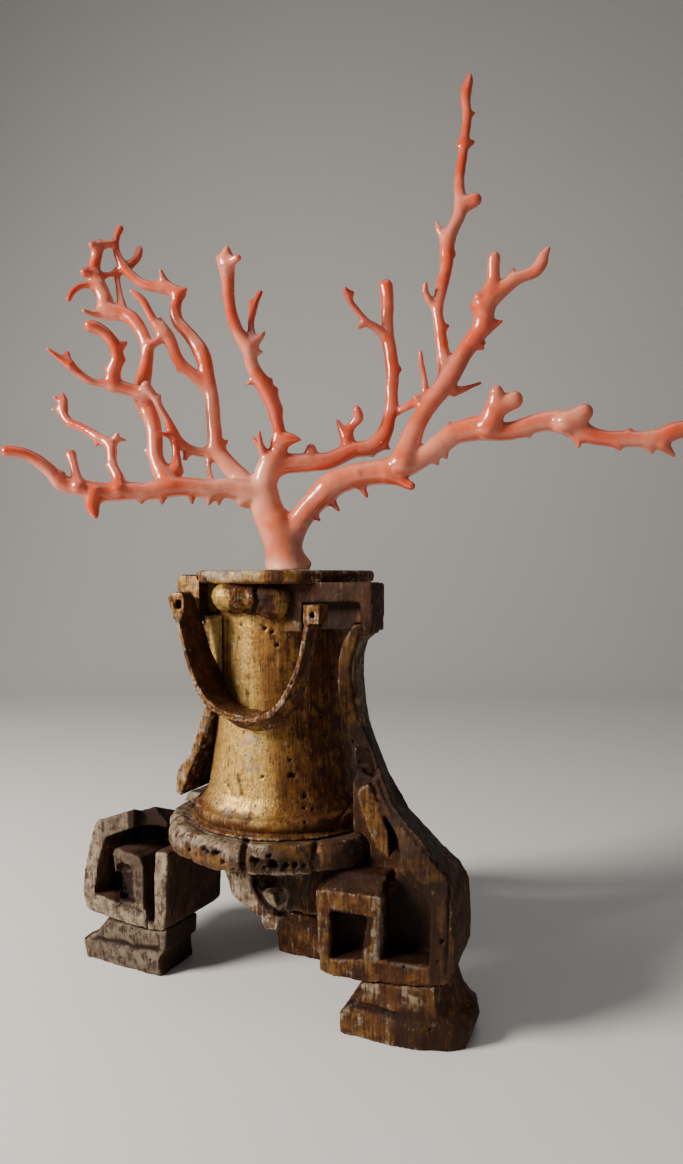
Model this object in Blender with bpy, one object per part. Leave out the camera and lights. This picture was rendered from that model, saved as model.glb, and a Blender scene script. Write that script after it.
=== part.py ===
"""Branch of precious coral standing on a carved and gilded wooden base.

Lengths are in millimetres in the tables and functions and become metres when a mesh is made.
Z is up. The front of the object looks along -Y. While the pieces are being made, the upright
axis of the turned body stands at x = 0, y = 0; at the end everything moves together so that
the middle of the footprint is the origin and the feet stand on z = 0.
"""

import math

import bmesh
import bpy
from mathutils import Matrix, Vector

MM = 0.001
GAP = 0.3

# Heights of the stand, from the table up.
SPIRAL_TOP = 66.8
RING_BOTTOM = 67.1
RING_TOP = 78.5
BODY_BOTTOM = 78.8
BODY_TOP = 193.9
PLATE_BOTTOM = 194.2
PLATE_TOP = 199.3
BLOCK_BOTTOM = 171.0
CORAL_FOOT = 199.6

# Directions in which the pieces run, in degrees about the upright axis.
FRONT_TURN = -24.0
RIGHT_LEG_TURN = -19.0
LEFT_LEG_TURN = -27.5
BACK_LEG_TURN = 66.0

# The coral's points were read from a front view. Their x and z are as they look in the plane
# of the axis from this eye, and their depth moves them along the line of sight.
EYE = Vector((28.25, -406.0, 198.0))
CORAL_TRIANGLES = 3440
CORAL_VOXEL = 0.62

# Each branch: depth at its first and last point, how it ends, then (x, z, radius) along it.
BRANCHES = {
    "trunk": (0, 0, "cut", [
        (1.6, 196, 11.4), (1.0, 201, 10.3), (0.2, 206, 9.6), (-1.2, 212, 9.2), (-2.6, 217, 9.4),
        (-4.6, 222, 9.3), (-7.6, 227, 8.3), (-9.6, 233, 7.8), (-10.6, 240, 7.0), (-9.5, 246, 6.3),
        (-7.2, 252, 6.1), (-4.6, 257, 5.2)]),
    "foot_right": (0, -2, "round", [(5, 204, 6.0), (9.5, 203.2, 3.2), (11.6, 202.6, 1.9)]),
    "foot_left": (0, -3, "round", [(-3, 203, 6.5), (-5.4, 205.5, 4.4), (-6.6, 207, 2.9)]),
    "arm_right": (0, -12, "cut", [
        (1.0, 213, 7.5), (4.4, 220, 6.6), (8.9, 226.8, 6.0), (13.6, 232.3, 5.9), (18.4, 237.2, 6.5),
        (23.4, 241.8, 6.8), (30, 245.0, 6.3), (38, 247.2, 6.2), (46, 248.3, 6.3), (54, 249.6, 6.6),
        (60.5, 251.8, 6.1), (66.5, 254.8, 5.5), (72, 258, 5.2), (78, 262.8, 5.4), (84.5, 267.2, 5.6)]),
    "arm_right_far": (-12, -30, "round", [
        (84.5, 267.2, 5.6), (90.5, 269.2, 5.9), (96, 270.4, 6.3), (101, 270.2, 5.8), (107, 268.8, 4.8),
        (114, 269.2, 4.6), (120, 271, 4.8), (126, 273, 4.9), (132, 274, 5.1), (138, 273.7, 5.8),
        (143.5, 271.6, 6.0), (149, 268.4, 5.2), (155, 266.3, 4.3), (161, 265.3, 4.0), (168, 265, 4.2),
        (175, 265, 4.0), (182, 265, 4.4), (188, 266.2, 4.5), (194, 268.8, 4.6), (200, 270.2, 4.2),
        (204, 270.6, 3.3)]),
    "knob_right": (-17, -21, "round", [
        (101, 270.5, 5.8), (103.8, 276, 5.6), (105.4, 282, 4.8), (105.8, 286.6, 4.0), (105.7, 288.6, 3.4)]),
    "knob_right_lobe": (-19, -21, "cut", [(104, 278.5, 4.6), (109, 281.6, 4.5), (114, 284.2, 4.6),
                                          (117.2, 285.6, 4.2)]),
    "knob_far": (-24, -26, "cut", [(140, 273.4, 5.8), (145.5, 275.4, 5.4), (149.4, 278.2, 4.6),
                                   (151, 280.2, 3.7)]),
    "stub_under": (-9, -13, "cut", [(51.5, 246.8, 4.4), (57.5, 244.3, 3.2), (61.5, 242.2, 2.5),
                                    (64.2, 240.9, 2.4)]),
    "stem_right": (-11, 3, "cut", [
        (58, 252.5, 6.4), (60.8, 258.5, 6.1), (62.9, 264.5, 5.4), (64.9, 270, 4.9), (67.6, 275, 4.5),
        (70.6, 279.8, 4.5), (74, 284.6, 4.7), (77.4, 289, 4.9), (80.7, 293.8, 5.0), (84.2, 299.6, 5.0),
        (87.6, 305, 4.6), (90.8, 310, 4.5)]),
    "antler": (3, -6, "cut", [
        (90.8, 310, 4.5), (94.3, 315, 4.5), (97.8, 320, 4.8), (99.3, 325, 5.0), (99.9, 330, 5.3),
        (101.2, 335, 5.0), (103.2, 340, 4.2), (104, 345, 3.4), (104.3, 351, 3.1), (104.8, 357.5, 3.2)]),
    "antler_knob": (-2, -4, "round", [(99, 331, 4.8), (97.3, 334.5, 3.4), (97, 335.8, 2.8)]),
    "antler_tip": (-2, -9, "round", [
        (102.5, 334.8, 4.8), (106.5, 338.2, 4.4), (110.6, 341.4, 3.9), (115.3, 344.7, 3.4),
        (120.3, 346.8, 3.0), (124.8, 348.7, 3.2), (127.8, 352.5, 3.3), (129.4, 356.8, 2.6),
        (131.6, 360, 1.4)]),
    "spire": (1, 20, "round", [
        (81.5, 296, 4.9), (79.9, 303, 4.1), (78.8, 309.5, 3.4), (78, 315, 3.1), (77.3, 320.5, 2.9),
        (76.4, 326, 2.9), (76.4, 331.5, 3.1), (77.4, 336.5, 3.0), (78.5, 341.5, 3.1),
        (79.9, 347.5, 3.1), (80.9, 354, 3.4), (80.8, 360, 3.6), (81.9, 366, 3.8), (84.4, 371, 3.3),
        (86.9, 376.5, 3.2), (88, 382, 3.3), (87.4, 388, 2.9), (87.1, 394.5, 2.7), (87.9, 401, 2.5),
        (89, 408, 2.5), (89.7, 415, 2.5), (90.6, 421, 2.3), (91, 427, 2.3), (90.4, 433.5, 2.5),
        (90.6, 439, 2.8), (91.8, 443.5, 2.3), (92.1, 446.2, 1.7)]),
    "spire_knob": (12, 10, "cut", [(88, 380.5, 3.4), (91.8, 382.8, 3.4), (94.6, 384.3, 3.5),
                                   (96.8, 385.2, 3.2)]),
    "mid_right": (1, 18, "cut", [
        (-8, 249.5, 6.0), (-1, 252.3, 5.3), (7, 252.9, 4.9), (15, 253.3, 4.6), (22, 254.2, 4.4),
        (28.5, 257, 4.4), (35, 259.6, 4.0), (42, 260.6, 4.2), (47.2, 264, 4.6), (50.5, 269.6, 3.8),
        (52.1, 275.5, 3.4), (53.2, 281.5, 3.5), (53.3, 289, 3.2), (53.8, 297, 3.4), (53.2, 304, 3.5),
        (52.3, 310.5, 3.5), (51.2, 317, 3.4), (51.1, 324, 3.2), (51.3, 331, 3.2), (51.1, 336.5, 3.3),
        (50.1, 343.2, 3.6)]),
    "mid_right_bump": (5, 2, "round", [(13, 255.5, 3.8), (13.1, 259.8, 2.7)]),
    "mid_right_fork": (8, 3, "round", [(32, 259, 4.4), (31.5, 264, 3.5), (31.4, 268, 3.0),
                                       (33.6, 271.8, 2.3), (36.6, 275.6, 2.8), (36, 279.6, 2.1)]),
    "mid_right_fork_b": (5, 7, "point", [(30.6, 265.5, 2.8), (28.4, 269.5, 2.0), (26.4, 274, 1.0)]),
    "mid_right_twig": (13, 2, "round", [
        (50, 316.5, 2.8), (45.5, 320.6, 2.3), (40.8, 323.6, 1.9), (36.6, 328.6, 1.7), (33, 333.2, 1.7),
        (31.2, 337.6, 1.8), (30.2, 340, 1.3)]),
    "bridge_right": (13, -3, "cut", [(53.5, 278.5, 2.4), (57.5, 279.2, 1.9), (61.5, 281.3, 2.0),
                                     (65.5, 283.6, 2.6), (71, 284, 3.4)]),
    "twig_right": (-2, -6, "cut", [(67.6, 283, 2.6), (69.7, 288, 1.8), (70, 293, 1.6), (69.2, 298, 1.5),
                                   (68.1, 303.4, 1.4), (67.7, 309, 1.3)]),
    "mid_left": (1, -22, "round", [
        (-5.8, 253, 5.6), (-3.6, 258.5, 4.5), (-2.6, 264, 3.8), (-3, 269.5, 3.1), (-4.3, 275.5, 3.4),
        (-5.5, 281, 3.9), (-8, 287, 4.1), (-11.4, 293, 4.2), (-14.7, 298, 3.7), (-16.8, 303, 3.3),
        (-17.8, 308, 3.5), (-20.1, 313, 3.7), (-23.1, 318, 3.2), (-25.5, 323.5, 2.9), (-27.2, 330, 3.0),
        (-28.1, 336.5, 3.1), (-28.4, 343, 3.3), (-28.9, 349, 3.9), (-29.2, 354, 4.2),
        (-29.1, 357.6, 2.7), (-29, 360, 1.7)]),
    "mid_left_lobe": (-21, -18, "round", [(-29, 351.5, 3.0), (-32.3, 354.8, 2.4)]),
    "mid_left_lobe_b": (-21, -25, "round", [(-28.5, 352.5, 2.8), (-23.9, 355.4, 2.0)]),
    "mid_left_twig": (-12, -3, "round", [
        (-18, 310.5, 3.4), (-16.8, 316, 2.4), (-17, 322.5, 1.7), (-16.3, 328, 2.0), (-14.8, 333, 1.7),
        (-12.5, 338, 1.5)]),
    "mid_left_thorn": (-1, -5, "point", [(-3, 263.5, 4.4), (2.2, 265, 3.2), (7.4, 264.6, 0.9)]),
    "mid_left_twin": (0, -7, "round", [(-7.6, 254, 3.2), (-10.6, 258, 2.2), (-12.1, 262, 1.7),
                                       (-12.8, 268.2, 1.0)]),
    "mid_left_twin_b": (-3, 0, "point", [(-11.3, 259.5, 1.9), (-13.8, 262.4, 1.4), (-15.8, 265.8, 0.8)]),
    "arm_left": (0, -30, "cut", [
        (-10, 236.5, 6.6), (-17, 237.8, 6.3), (-24, 239.6, 5.6), (-31, 240.2, 5.0), (-38, 239.8, 4.9),
        (-46, 241, 4.8), (-54, 241, 4.7), (-62, 240, 4.8), (-70, 238.6, 4.6), (-78, 239, 4.7),
        (-86, 238.4, 4.7), (-94, 238.6, 5.0), (-101.5, 240.5, 4.3), (-108, 241.4, 4.2), (-113, 244, 4.0),
        (-117, 248.7, 3.5), (-122, 252.9, 3.3), (-128, 256.7, 3.0), (-134, 258.5, 2.9),
        (-141.2, 259, 2.9)]),
    "arm_left_root": (0, -3, "round", [(-15, 235.5, 5.4), (-20.8, 234, 3.4)]),
    "arm_left_stub": (-19, -22, "round", [(-95, 238, 4.8), (-96.2, 232.4, 3.8), (-95.4, 228, 2.5),
                                          (-94.8, 226.4, 1.5)]),
    "arm_left_twig": (-22, -13, "cut", [(-103, 241, 3.6), (-104.5, 247.5, 2.4), (-105.9, 253, 2.4),
                                        (-107.3, 258.2, 2.8)]),
    "crook": (-17, 4, "round", [
        (-83, 240, 4.0), (-83.4, 245.5, 3.0), (-85.6, 250, 2.7), (-86.5, 255, 2.5), (-86.7, 260, 2.7),
        (-89, 263.3, 2.6), (-93.5, 265.6, 2.5), (-98, 268.8, 2.2), (-103, 271.3, 2.1),
        (-107.6, 273, 2.3), (-110.4, 276.8, 2.3), (-111, 281, 2.6), (-110.8, 284.5, 2.0),
        (-111.3, 287.4, 1.1)]),
    "crook_tip": (3, 0, "round", [(-111, 283.8, 2.0), (-115.2, 285.7, 0.9)]),
    "crook_tip_b": (2, -1, "round", [(-111, 279, 2.0), (-116, 279.9, 0.9)]),
    "crook_spur": (-6, -10, "round", [(-86.5, 261, 2.4), (-84, 266.8, 1.4)]),
    "crook_spur_b": (-8, -8, "round", [(-84.6, 264.8, 1.3), (-80.4, 264.5, 1.0)]),
    "upright": (-9, 9, "cut", [
        (-56.5, 241.5, 5.4), (-61, 247.5, 4.9), (-64, 254, 4.1), (-65, 260.5, 3.9), (-65.1, 267, 3.9),
        (-66.4, 274, 4.1), (-69, 280, 4.4), (-71.4, 285.6, 4.6), (-71.6, 291, 4.4), (-70.4, 297, 3.9),
        (-69.3, 303, 3.3), (-68.8, 309, 3.3), (-70, 315, 3.2), (-72.6, 320, 3.4), (-76, 324.6, 3.7),
        (-80.5, 327.4, 3.7)]),
    "crown_left": (9, 12, "round", [
        (-80.5, 327.4, 3.7), (-85, 328.2, 4.3), (-89.5, 329.4, 4.8), (-90, 334.5, 4.1),
        (-92.2, 340, 3.8), (-94.6, 345, 3.6), (-95.3, 350, 3.1), (-94.6, 355, 2.8), (-93.9, 359.5, 2.9),
        (-93.3, 362.3, 2.3)]),
    "crown_left_lobe": (11, 8, "round", [(-93.8, 360.5, 2.5), (-96.4, 362.1, 1.8)]),
    "crown_left_knob": (11, 7, "round", [(-94.6, 346, 3.2), (-98.2, 347.6, 2.8), (-99.9, 348.3, 2.4)]),
    "crown_left_hook": (10, 2, "round", [(-93, 341.6, 3.0), (-98, 342, 1.8), (-102.8, 341.2, 1.7),
                                         (-106.2, 338.6, 1.6), (-108.1, 334.9, 1.4)]),
    "crown_left_twig": (9, 2, "round", [(-91, 328, 3.2), (-96.3, 327.5, 1.7), (-100.4, 329.1, 1.2)]),
    "loop_top": (12, 15, "cut", [(-93, 361.8, 2.4), (-88.6, 362.4, 2.0), (-84.8, 363, 1.9)]),
    "loop_low": (11, 17, "cut", [(-93.5, 346.2, 2.3), (-88, 347.2, 1.3), (-84.6, 348.3, 1.6),
                                 (-80.5, 350, 2.2)]),
    "loop_down": (17, 10, "cut", [(-84.3, 349, 1.6), (-83.5, 342.5, 1.5), (-82.4, 336, 1.8),
                                  (-81.3, 329.5, 2.6)]),
    "lower_fork": (-7, -20, "point", [
        (-70.5, 287.5, 4.2), (-76.5, 289.2, 3.4), (-82, 291, 3.2), (-87.5, 292.6, 2.8),
        (-93, 292.9, 2.0), (-98, 294.3, 2.1), (-103, 297.8, 2.2), (-107, 301.3, 2.3),
        (-111, 304.3, 1.9), (-115, 307.2, 1.5), (-118.4, 310, 0.9)]),
    "lower_fork_stub": (-17, -15, "cut", [(-107, 301.8, 2.2), (-108.6, 305.3, 1.7), (-109, 308.4, 1.7)]),
    "lower_column": (-10, -17, "cut", [
        (-85.5, 291.5, 3.6), (-86, 298, 3.8), (-83.9, 304, 3.3), (-84.2, 309, 3.1), (-86.4, 314, 3.1),
        (-90.2, 318, 3.1), (-94.6, 320.6, 3.3), (-99.2, 321.9, 3.2)]),
    "inner": (1, 13, "cut", [
        (-13, 237, 5.6), (-19, 242, 5.3), (-24.6, 248, 4.8), (-30.2, 254, 4.5), (-34.4, 260, 4.4),
        (-35.1, 267, 3.8), (-35.7, 275, 3.6), (-36.3, 283, 3.6), (-37.5, 290, 3.6), (-38.8, 297, 3.7),
        (-40, 303, 4.0), (-42.2, 309, 4.2), (-45.3, 313.8, 3.6), (-49.2, 318.6, 3.3),
        (-53.2, 323, 3.3), (-54.8, 328.5, 3.0), (-54.2, 333.5, 2.7), (-53.8, 337.2, 3.0)]),
    "inner_link": (13, 17, "round", [
        (-52.4, 337.6, 3.0), (-57.8, 340.1, 3.2), (-62.5, 341, 3.0), (-68, 341.5, 2.6),
        (-73, 343.6, 2.5), (-77, 347, 2.5), (-80.2, 350.5, 2.5), (-82.6, 354.5, 2.1),
        (-84.2, 358.8, 1.8), (-84.5, 363.5, 1.7), (-83.6, 367.5, 1.6), (-82.5, 370, 1.9)]),
    "inner_corner": (13, 11, "point", [(-53.4, 337.8, 2.6), (-49.6, 340, 1.0)]),
    "inner_link_spur": (14, 10, "round", [(-59.5, 341.5, 2.8), (-61, 345.8, 1.7), (-62, 349, 1.1)]),
    "inner_hook": (17, 21, "round", [(-79.5, 350.2, 2.5), (-76, 353.3, 2.0), (-73.5, 356.3, 2.0),
                                     (-72.8, 359.4, 1.9)]),
    "slope": (7, 2, "round", [
        (-38.6, 290.5, 3.4), (-43, 294.6, 3.2), (-47.2, 298.2, 3.0), (-51, 301.4, 3.0),
        (-54.2, 306, 3.1), (-56, 311, 3.0), (-58.4, 315.8, 3.5), (-62, 319.6, 3.5), (-65.4, 323.6, 2.5),
        (-68, 328.6, 2.1), (-70.6, 333.4, 2.1), (-73.6, 336.8, 1.8), (-76.5, 338.7, 1.3)]),
    "slope_link": (4, 2, "cut", [(-60.0, 317.4, 2.8), (-63.8, 313.9, 2.1), (-69, 310.5, 2.3)]),
    "slope_spur": (4, 6, "point", [(-61.4, 321, 2.6), (-62.2, 325.2, 0.9)]),
    "ribbon": (-11, 4, "cut", [
        (-69.5, 291.5, 2.6), (-65.6, 286.6, 2.0), (-62, 280, 1.8), (-58.4, 274, 2.1), (-56, 268, 2.8),
        (-53, 263.4, 2.8), (-47.6, 259.7, 2.5), (-42, 258.2, 2.5), (-35.5, 258.8, 3.0)]),
    "ribbon_twig": (-4, -13, "round", [(-56.8, 266.6, 2.0), (-61, 267.5, 1.1), (-63.5, 268.4, 0.8)]),
    "ribbon_link": (-2, -7, "cut", [(-55.4, 266, 2.2), (-54.6, 260, 1.9), (-54.2, 254, 2.5),
                                    (-54.5, 247, 4.0)]),
    "ribbon_stub": (0, -2, "round", [(-48.6, 259.2, 1.9), (-49.7, 255.4, 1.4)]),
    "post": (3, -5, "cut", [(-37.6, 258, 2.2), (-38.1, 251.5, 1.4), (-37.4, 246.5, 1.5),
                            (-36.6, 241.5, 2.6)]),
}

# Thorns and short twigs: the branch that it grows from, how much deeper its tip lies than its
# foot, and the foot and tip as (x, z, radius).
THORNS = [
    ("arm_right", 1, (13.8, 227.6, 1.8), (17.0, 224.6, 1.0)),
    ("arm_right", -1, (23.8, 233.2, 2.0), (26.7, 229.5, 1.0)),
    ("arm_right", 0, (38.2, 241.2, 1.9), (40.8, 236.6, 1.1)),
    ("arm_right", 1, (75.2, 255.2, 1.9), (76.3, 252.2, 0.9)),
    ("arm_right", 0, (79.0, 258.6, 2.4), (80.8, 255.7, 1.0)),
    ("arm_right", 2, (81.6, 270.0, 1.7), (82.3, 273.2, 0.9)),
    ("arm_right", -5, (36.0, 247.0, 2.2), (36.4, 248.4, 1.1)),
    ("arm_right_far", 1, (120.5, 267.8, 1.6), (122.4, 266.2, 0.9)),
    ("arm_right_far", -1, (146.6, 266.0, 2.4), (146.8, 261.4, 1.0)),
    ("arm_right_far", 0, (166.0, 262.2, 2.0), (167.4, 260.2, 1.2)),
    ("arm_right_far", 1, (181.8, 261.8, 2.2), (183.5, 258.6, 1.2)),
    ("arm_right_far", 2, (188.5, 262.4, 3.2), (194.1, 256.9, 1.1)),
    ("arm_right_far", 1, (171.6, 268.0, 1.7), (172.6, 269.4, 1.1)),
    ("stem_right", 2, (84.6, 288.6, 2.6), (90.0, 290.0, 1.3)),
    ("stem_right", 4, (89.0, 289.8, 1.3), (97.2, 292.8, 1.0)),
    ("antler", -1, (100.8, 320.4, 3.4), (105.2, 322.6, 1.7)),
    ("antler", -2, (104.6, 322.4, 1.7), (108.3, 323.9, 0.9)),
    ("antler", 1, (97.4, 312.2, 1.7), (99.7, 312.8, 0.9)),
    ("antler", -1, (95.4, 311.6, 1.9), (98.8, 310.4, 1.1)),
    ("antler", 0, (95.6, 331.0, 1.9), (93.6, 331.0, 1.3)),
    ("antler_tip", 1, (113.4, 346.2, 2.0), (114.4, 350.2, 0.8)),
    ("spire", 1, (79.4, 320.6, 2.0), (81.4, 321.6, 1.1)),
    ("spire", -2, (74.6, 331.6, 2.2), (72.0, 334.6, 1.7)),
    ("spire", -3, (72.0, 334.6, 1.7), (70.1, 338.6, 1.6)),
    ("spire", -4, (70.1, 338.6, 1.6), (70.1, 342.0, 1.5)),
    ("spire", 1, (79.0, 366.2, 2.3), (76.9, 369.6, 1.4)),
    ("spire", 2, (76.9, 369.6, 1.4), (76.0, 372.9, 1.1)),
    ("spire", -1, (88.0, 412.6, 1.8), (85.9, 412.0, 0.9)),
    ("spire", 0, (91.0, 412.4, 2.2), (93.8, 413.3, 1.3)),
    ("spire", 1, (91.6, 426.4, 1.8), (94.6, 428.0, 0.8)),
    ("spire", 0, (83.4, 358.0, 1.9), (84.0, 357.0, 1.5)),
    ("spire", 5, (78.4, 344.0, 2.2), (78.8, 346.0, 1.1)),
    ("stem_right", -1, (67.0, 283.4, 2.6), (65.2, 286.0, 1.2)),
    ("mid_right", 1, (42.6, 258.6, 1.7), (44.0, 256.8, 1.0)),
    ("mid_right", -1, (49.2, 261.6, 2.0), (52.0, 260.2, 0.9)),
    ("mid_right", 0, (56.0, 300.0, 2.0), (57.6, 299.6, 1.1)),
    ("mid_right", 5, (52.6, 290.0, 2.4), (51.8, 292.4, 1.1)),
    ("mid_right_twig", -1, (39.4, 322.6, 2.0), (36.8, 320.6, 1.1)),
    ("mid_right_twig", 0, (33.2, 337.6, 1.5), (34.0, 338.4, 0.9)),
    ("mid_left", 1, (-15.4, 312.6, 2.6), (-12.0, 316.4, 1.3)),
    ("mid_left", 2, (-12.2, 316.2, 1.3), (-10.0, 318.3, 0.7)),
    ("mid_left", -1, (-14.4, 308.2, 1.6), (-12.1, 308.5, 1.2)),
    ("mid_left", -1, (-15.6, 294.4, 1.7), (-18.6, 292.6, 0.9)),
    ("mid_left", 0, (-8.6, 292.6, 2.2), (-7.4, 294.0, 1.5)),
    ("mid_left", 0, (-5.6, 288.4, 2.2), (-4.4, 289.9, 1.3)),
    ("mid_left", 0, (-2.4, 279.4, 1.6), (-1.9, 280.8, 0.9)),
    ("mid_left", 5, (-25.8, 324.0, 2.2), (-26.4, 326.0, 1.0)),
    ("mid_left_twig", 0, (-16.4, 331.0, 1.8), (-17.2, 333.7, 1.1)),
    ("arm_left", 1, (-33.0, 236.4, 2.4), (-33.2, 232.6, 1.1)),
    ("arm_left", -1, (-37.2, 236.6, 2.8), (-38.3, 232.6, 1.2)),
    ("arm_left", 1, (-46.7, 238.0, 2.0), (-46.6, 233.4, 1.2)),
    ("arm_left", 0, (-61.2, 237.4, 2.4), (-61.6, 233.0, 1.1)),
    ("arm_left", -1, (-71.4, 236.6, 2.2), (-72.0, 233.2, 1.1)),
    ("arm_left", 5, (-66.0, 240.0, 2.6), (-66.6, 242.0, 1.2)),
    ("arm_left", -1, (-111.6, 246.0, 2.0), (-111.2, 248.0, 1.2)),
    ("crook", -1, (-92.6, 264.6, 1.8), (-94.2, 262.4, 1.3)),
    ("crook", 0, (-87.6, 251.6, 1.5), (-89.0, 251.6, 0.9)),
    ("upright", -1, (-67.0, 257.8, 1.8), (-70.4, 259.4, 0.8)),
    ("upright", 5, (-69.6, 300.0, 2.4), (-69.8, 302.4, 1.1)),
    ("ribbon", 0, (-63.6, 284.6, 1.4), (-62.5, 286.6, 0.9)),
    ("inner", 1, (-31.8, 261.8, 2.0), (-29.0, 264.0, 0.9)),
    ("inner", 5, (-36.0, 279.0, 2.6), (-36.6, 281.4, 1.1)),
    ("slope", 1, (-51.4, 300.6, 2.0), (-53.0, 299.2, 1.3)),
    ("lower_column", -1, (-81.6, 311.6, 2.0), (-79.4, 313.2, 1.0)),
    ("lower_column", 1, (-82.0, 304.4, 1.8), (-80.6, 304.6, 1.2)),
    ("lower_column", 0, (-88.0, 299.4, 2.0), (-89.6, 300.0, 1.1)),
]

# Joints between the coral's pieces: branch, the place of the cut counted in the branch's
# points, and how many times the branch's radius the cut reaches.
CORAL_CUTS = [
    ("arm_right", 3, 1.8), ("stem_right", 2.6, 1.3), ("spire", 2, 1.8), ("mid_right", 2, 1.8),
    ("mid_left", 3, 2.0), ("arm_left", 3, 1.6), ("crook", 1, 1.5), ("upright", 2, 1.3),
    ("lower_fork", 2, 1.8), ("inner", 3, 1.5), ("inner_link", 3, 2.2), ("slope", 2, 1.3),
    ("bridge_right", 2, 2.2),
    ("loop_top", 1, 2.2), ("loop_low", 1, 1.6), ("loop_down", 1.3, 1.4), ("slope_link", 1, 1.3),
    ("ribbon", 2, 1.7), ("ribbon", 7, 2.0), ("ribbon_link", 1.6, 1.2), ("post", 1, 2.2),
]

# A point that lies inside each piece of the coral: branch and point number.
CORAL_PIECES = {
    "coral_trunk": ("trunk", 6),
    "coral_arm_right": ("arm_right", 8),
    "coral_stem_right": ("stem_right", 6),
    "coral_spire": ("spire", 10),
    "coral_mid_right": ("mid_right", 9),
    "coral_mid_left": ("mid_left", 8),
    "coral_arm_left": ("arm_left", 9),
    "coral_crook": ("crook", 6),
    "coral_upright": ("upright", 7),
    "coral_lower_fork": ("lower_fork", 4),
    "coral_inner": ("inner", 8),
    "coral_inner_link": ("inner_link", 4),
    "coral_slope": ("slope", 5),
    "coral_ribbon": ("ribbon", 4),
}


# Colour, roughness and metallic value of each surface.
LOOKS = {
    "coral": ((0.78, 0.27, 0.15), 0.22, 0.0),
    "gilt": ((0.45, 0.27, 0.10), 0.48, 0.55),
    "gilt_dark": ((0.16, 0.07, 0.03), 0.60, 0.20),
    "gesso": ((0.55, 0.46, 0.36), 0.75, 0.0),
}


def clear_scene():
    for obj in list(bpy.data.objects):
        bpy.data.objects.remove(obj, do_unlink=True)


def material(name, look):
    colour, roughness, metallic = LOOKS[look]
    made = bpy.data.materials.new(name)
    made.use_nodes = True
    shader = made.node_tree.nodes["Principled BSDF"]
    shader.inputs["Base Color"].default_value = (*colour, 1.0)
    shader.inputs["Roughness"].default_value = roughness
    shader.inputs["Metallic"].default_value = metallic
    return made


def evaluated_mesh(obj):
    """Mesh of an object with its modifiers applied."""
    graph = bpy.context.evaluated_depsgraph_get()
    return bpy.data.meshes.new_from_object(obj.evaluated_get(graph))


def add_object(name, mesh):
    obj = bpy.data.objects.new(name, mesh)
    bpy.context.scene.collection.objects.link(obj)
    return obj


def from_bmesh(name, bm):
    bmesh.ops.recalc_face_normals(bm, faces=bm.faces)
    mesh = bpy.data.meshes.new(name)
    bm.to_mesh(mesh)
    bm.free()
    return add_object(name, mesh)


def bake(obj):
    """Replace an object's mesh by what its modifiers make of it."""
    mesh = evaluated_mesh(obj)
    obj.modifiers.clear()
    obj.data = mesh
    return obj


def boolean(obj, other, operation):
    """Join with, or cut by, another object, which is then removed."""
    step = obj.modifiers.new(operation.lower(), "BOOLEAN")
    step.operation = operation
    step.solver = "EXACT"
    step.object = other
    bake(obj)
    bpy.data.objects.remove(other, do_unlink=True)
    return obj


def turned(degrees):
    return Matrix.Rotation(math.radians(degrees), 4, "Z")


def carved_point(along, out, height):
    """Point of the stand: along a piece, out to its front and up."""
    return Vector((along, -out, height)) * MM


def loft(name, rings):
    """Closed body through rings that all have the same number of points."""
    bm = bmesh.new()
    rows = [[bm.verts.new(point) for point in ring] for ring in rings]
    count = len(rows[0])
    for lower, upper in zip(rows, rows[1:]):
        for i in range(count):
            j = (i + 1) % count
            bm.faces.new((lower[i], lower[j], upper[j], upper[i]))
    bm.faces.new(rows[0])
    bm.faces.new(rows[-1])
    return from_bmesh(name, bm)


def slab(name, outline, back, front):
    """Board with its outline drawn as (along, height), from depth back to depth front."""
    return loft(name, [[carved_point(u, out, z) for u, z in outline] for out in (back, front)])


def stacked(name, layers):
    """Body through plan outlines: each layer is a height and its (along, out) points."""
    return loft(name, [[carved_point(u, out, z) for u, out in plan] for z, plan in layers])


def even_turns(segments):
    """Directions round the axis for a plain turned body, each with no groove."""
    return [(2 * math.pi * i / segments, 0.0) for i in range(segments)]


def lobed_turns():
    """Directions round the axis for the ring's lobes, each with its share of a groove's depth."""
    turns = []
    for lobe in range(LOBES):
        for place_in_lobe, groove in LOBE_SHAPE:
            turn = math.radians(FIRST_GROOVE) + 2 * math.pi * (lobe + place_in_lobe) / LOBES
            turns.append((turn, groove))
    return turns


def turned_body(name, profile, turns):
    """Body of revolution through (radius, height, lobed) rows."""
    rings = []
    for radius, height, lobed in profile:
        ring = []
        for turn, groove in turns:
            reach = (radius - (LOBE_DEPTH * groove if lobed else 0.0)) * MM
            ring.append(Vector((math.cos(turn) * reach, math.sin(turn) * reach, height * MM)))
        rings.append(ring)
    return loft(name, rings)


def clear_of(obj, *others, room=0.45):
    """Cut an object back so that a gap stays between it and its neighbours."""
    for other in others:
        grown_copy = add_object("room", other.data.copy())
        swell = grown_copy.modifiers.new("room", "DISPLACE")
        swell.mid_level = 0.0
        swell.strength = room * MM
        bake(grown_copy)
        boolean(obj, grown_copy, "DIFFERENCE")
    return obj


def place(obj, degrees):
    obj.data.transform(turned(degrees))
    return obj


def at_depth(x, z, depth):
    seen = Vector((x, 0.0, z))
    return EYE + (seen - EYE) * ((depth - EYE.y) / -EYE.y)


def depth_along(name, number):
    first, last, _, readings = BRANCHES[name]
    return first + (last - first) * number / (len(readings) - 1)


def branch_points(name):
    """Centre line of a branch as (point, radius), in millimetres."""
    line = []
    for number, (x, z, radius) in enumerate(BRANCHES[name][3]):
        depth = depth_along(name, number)
        line.append((at_depth(x, z, depth), radius * (depth - EYE.y) / -EYE.y))
    return line


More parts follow.
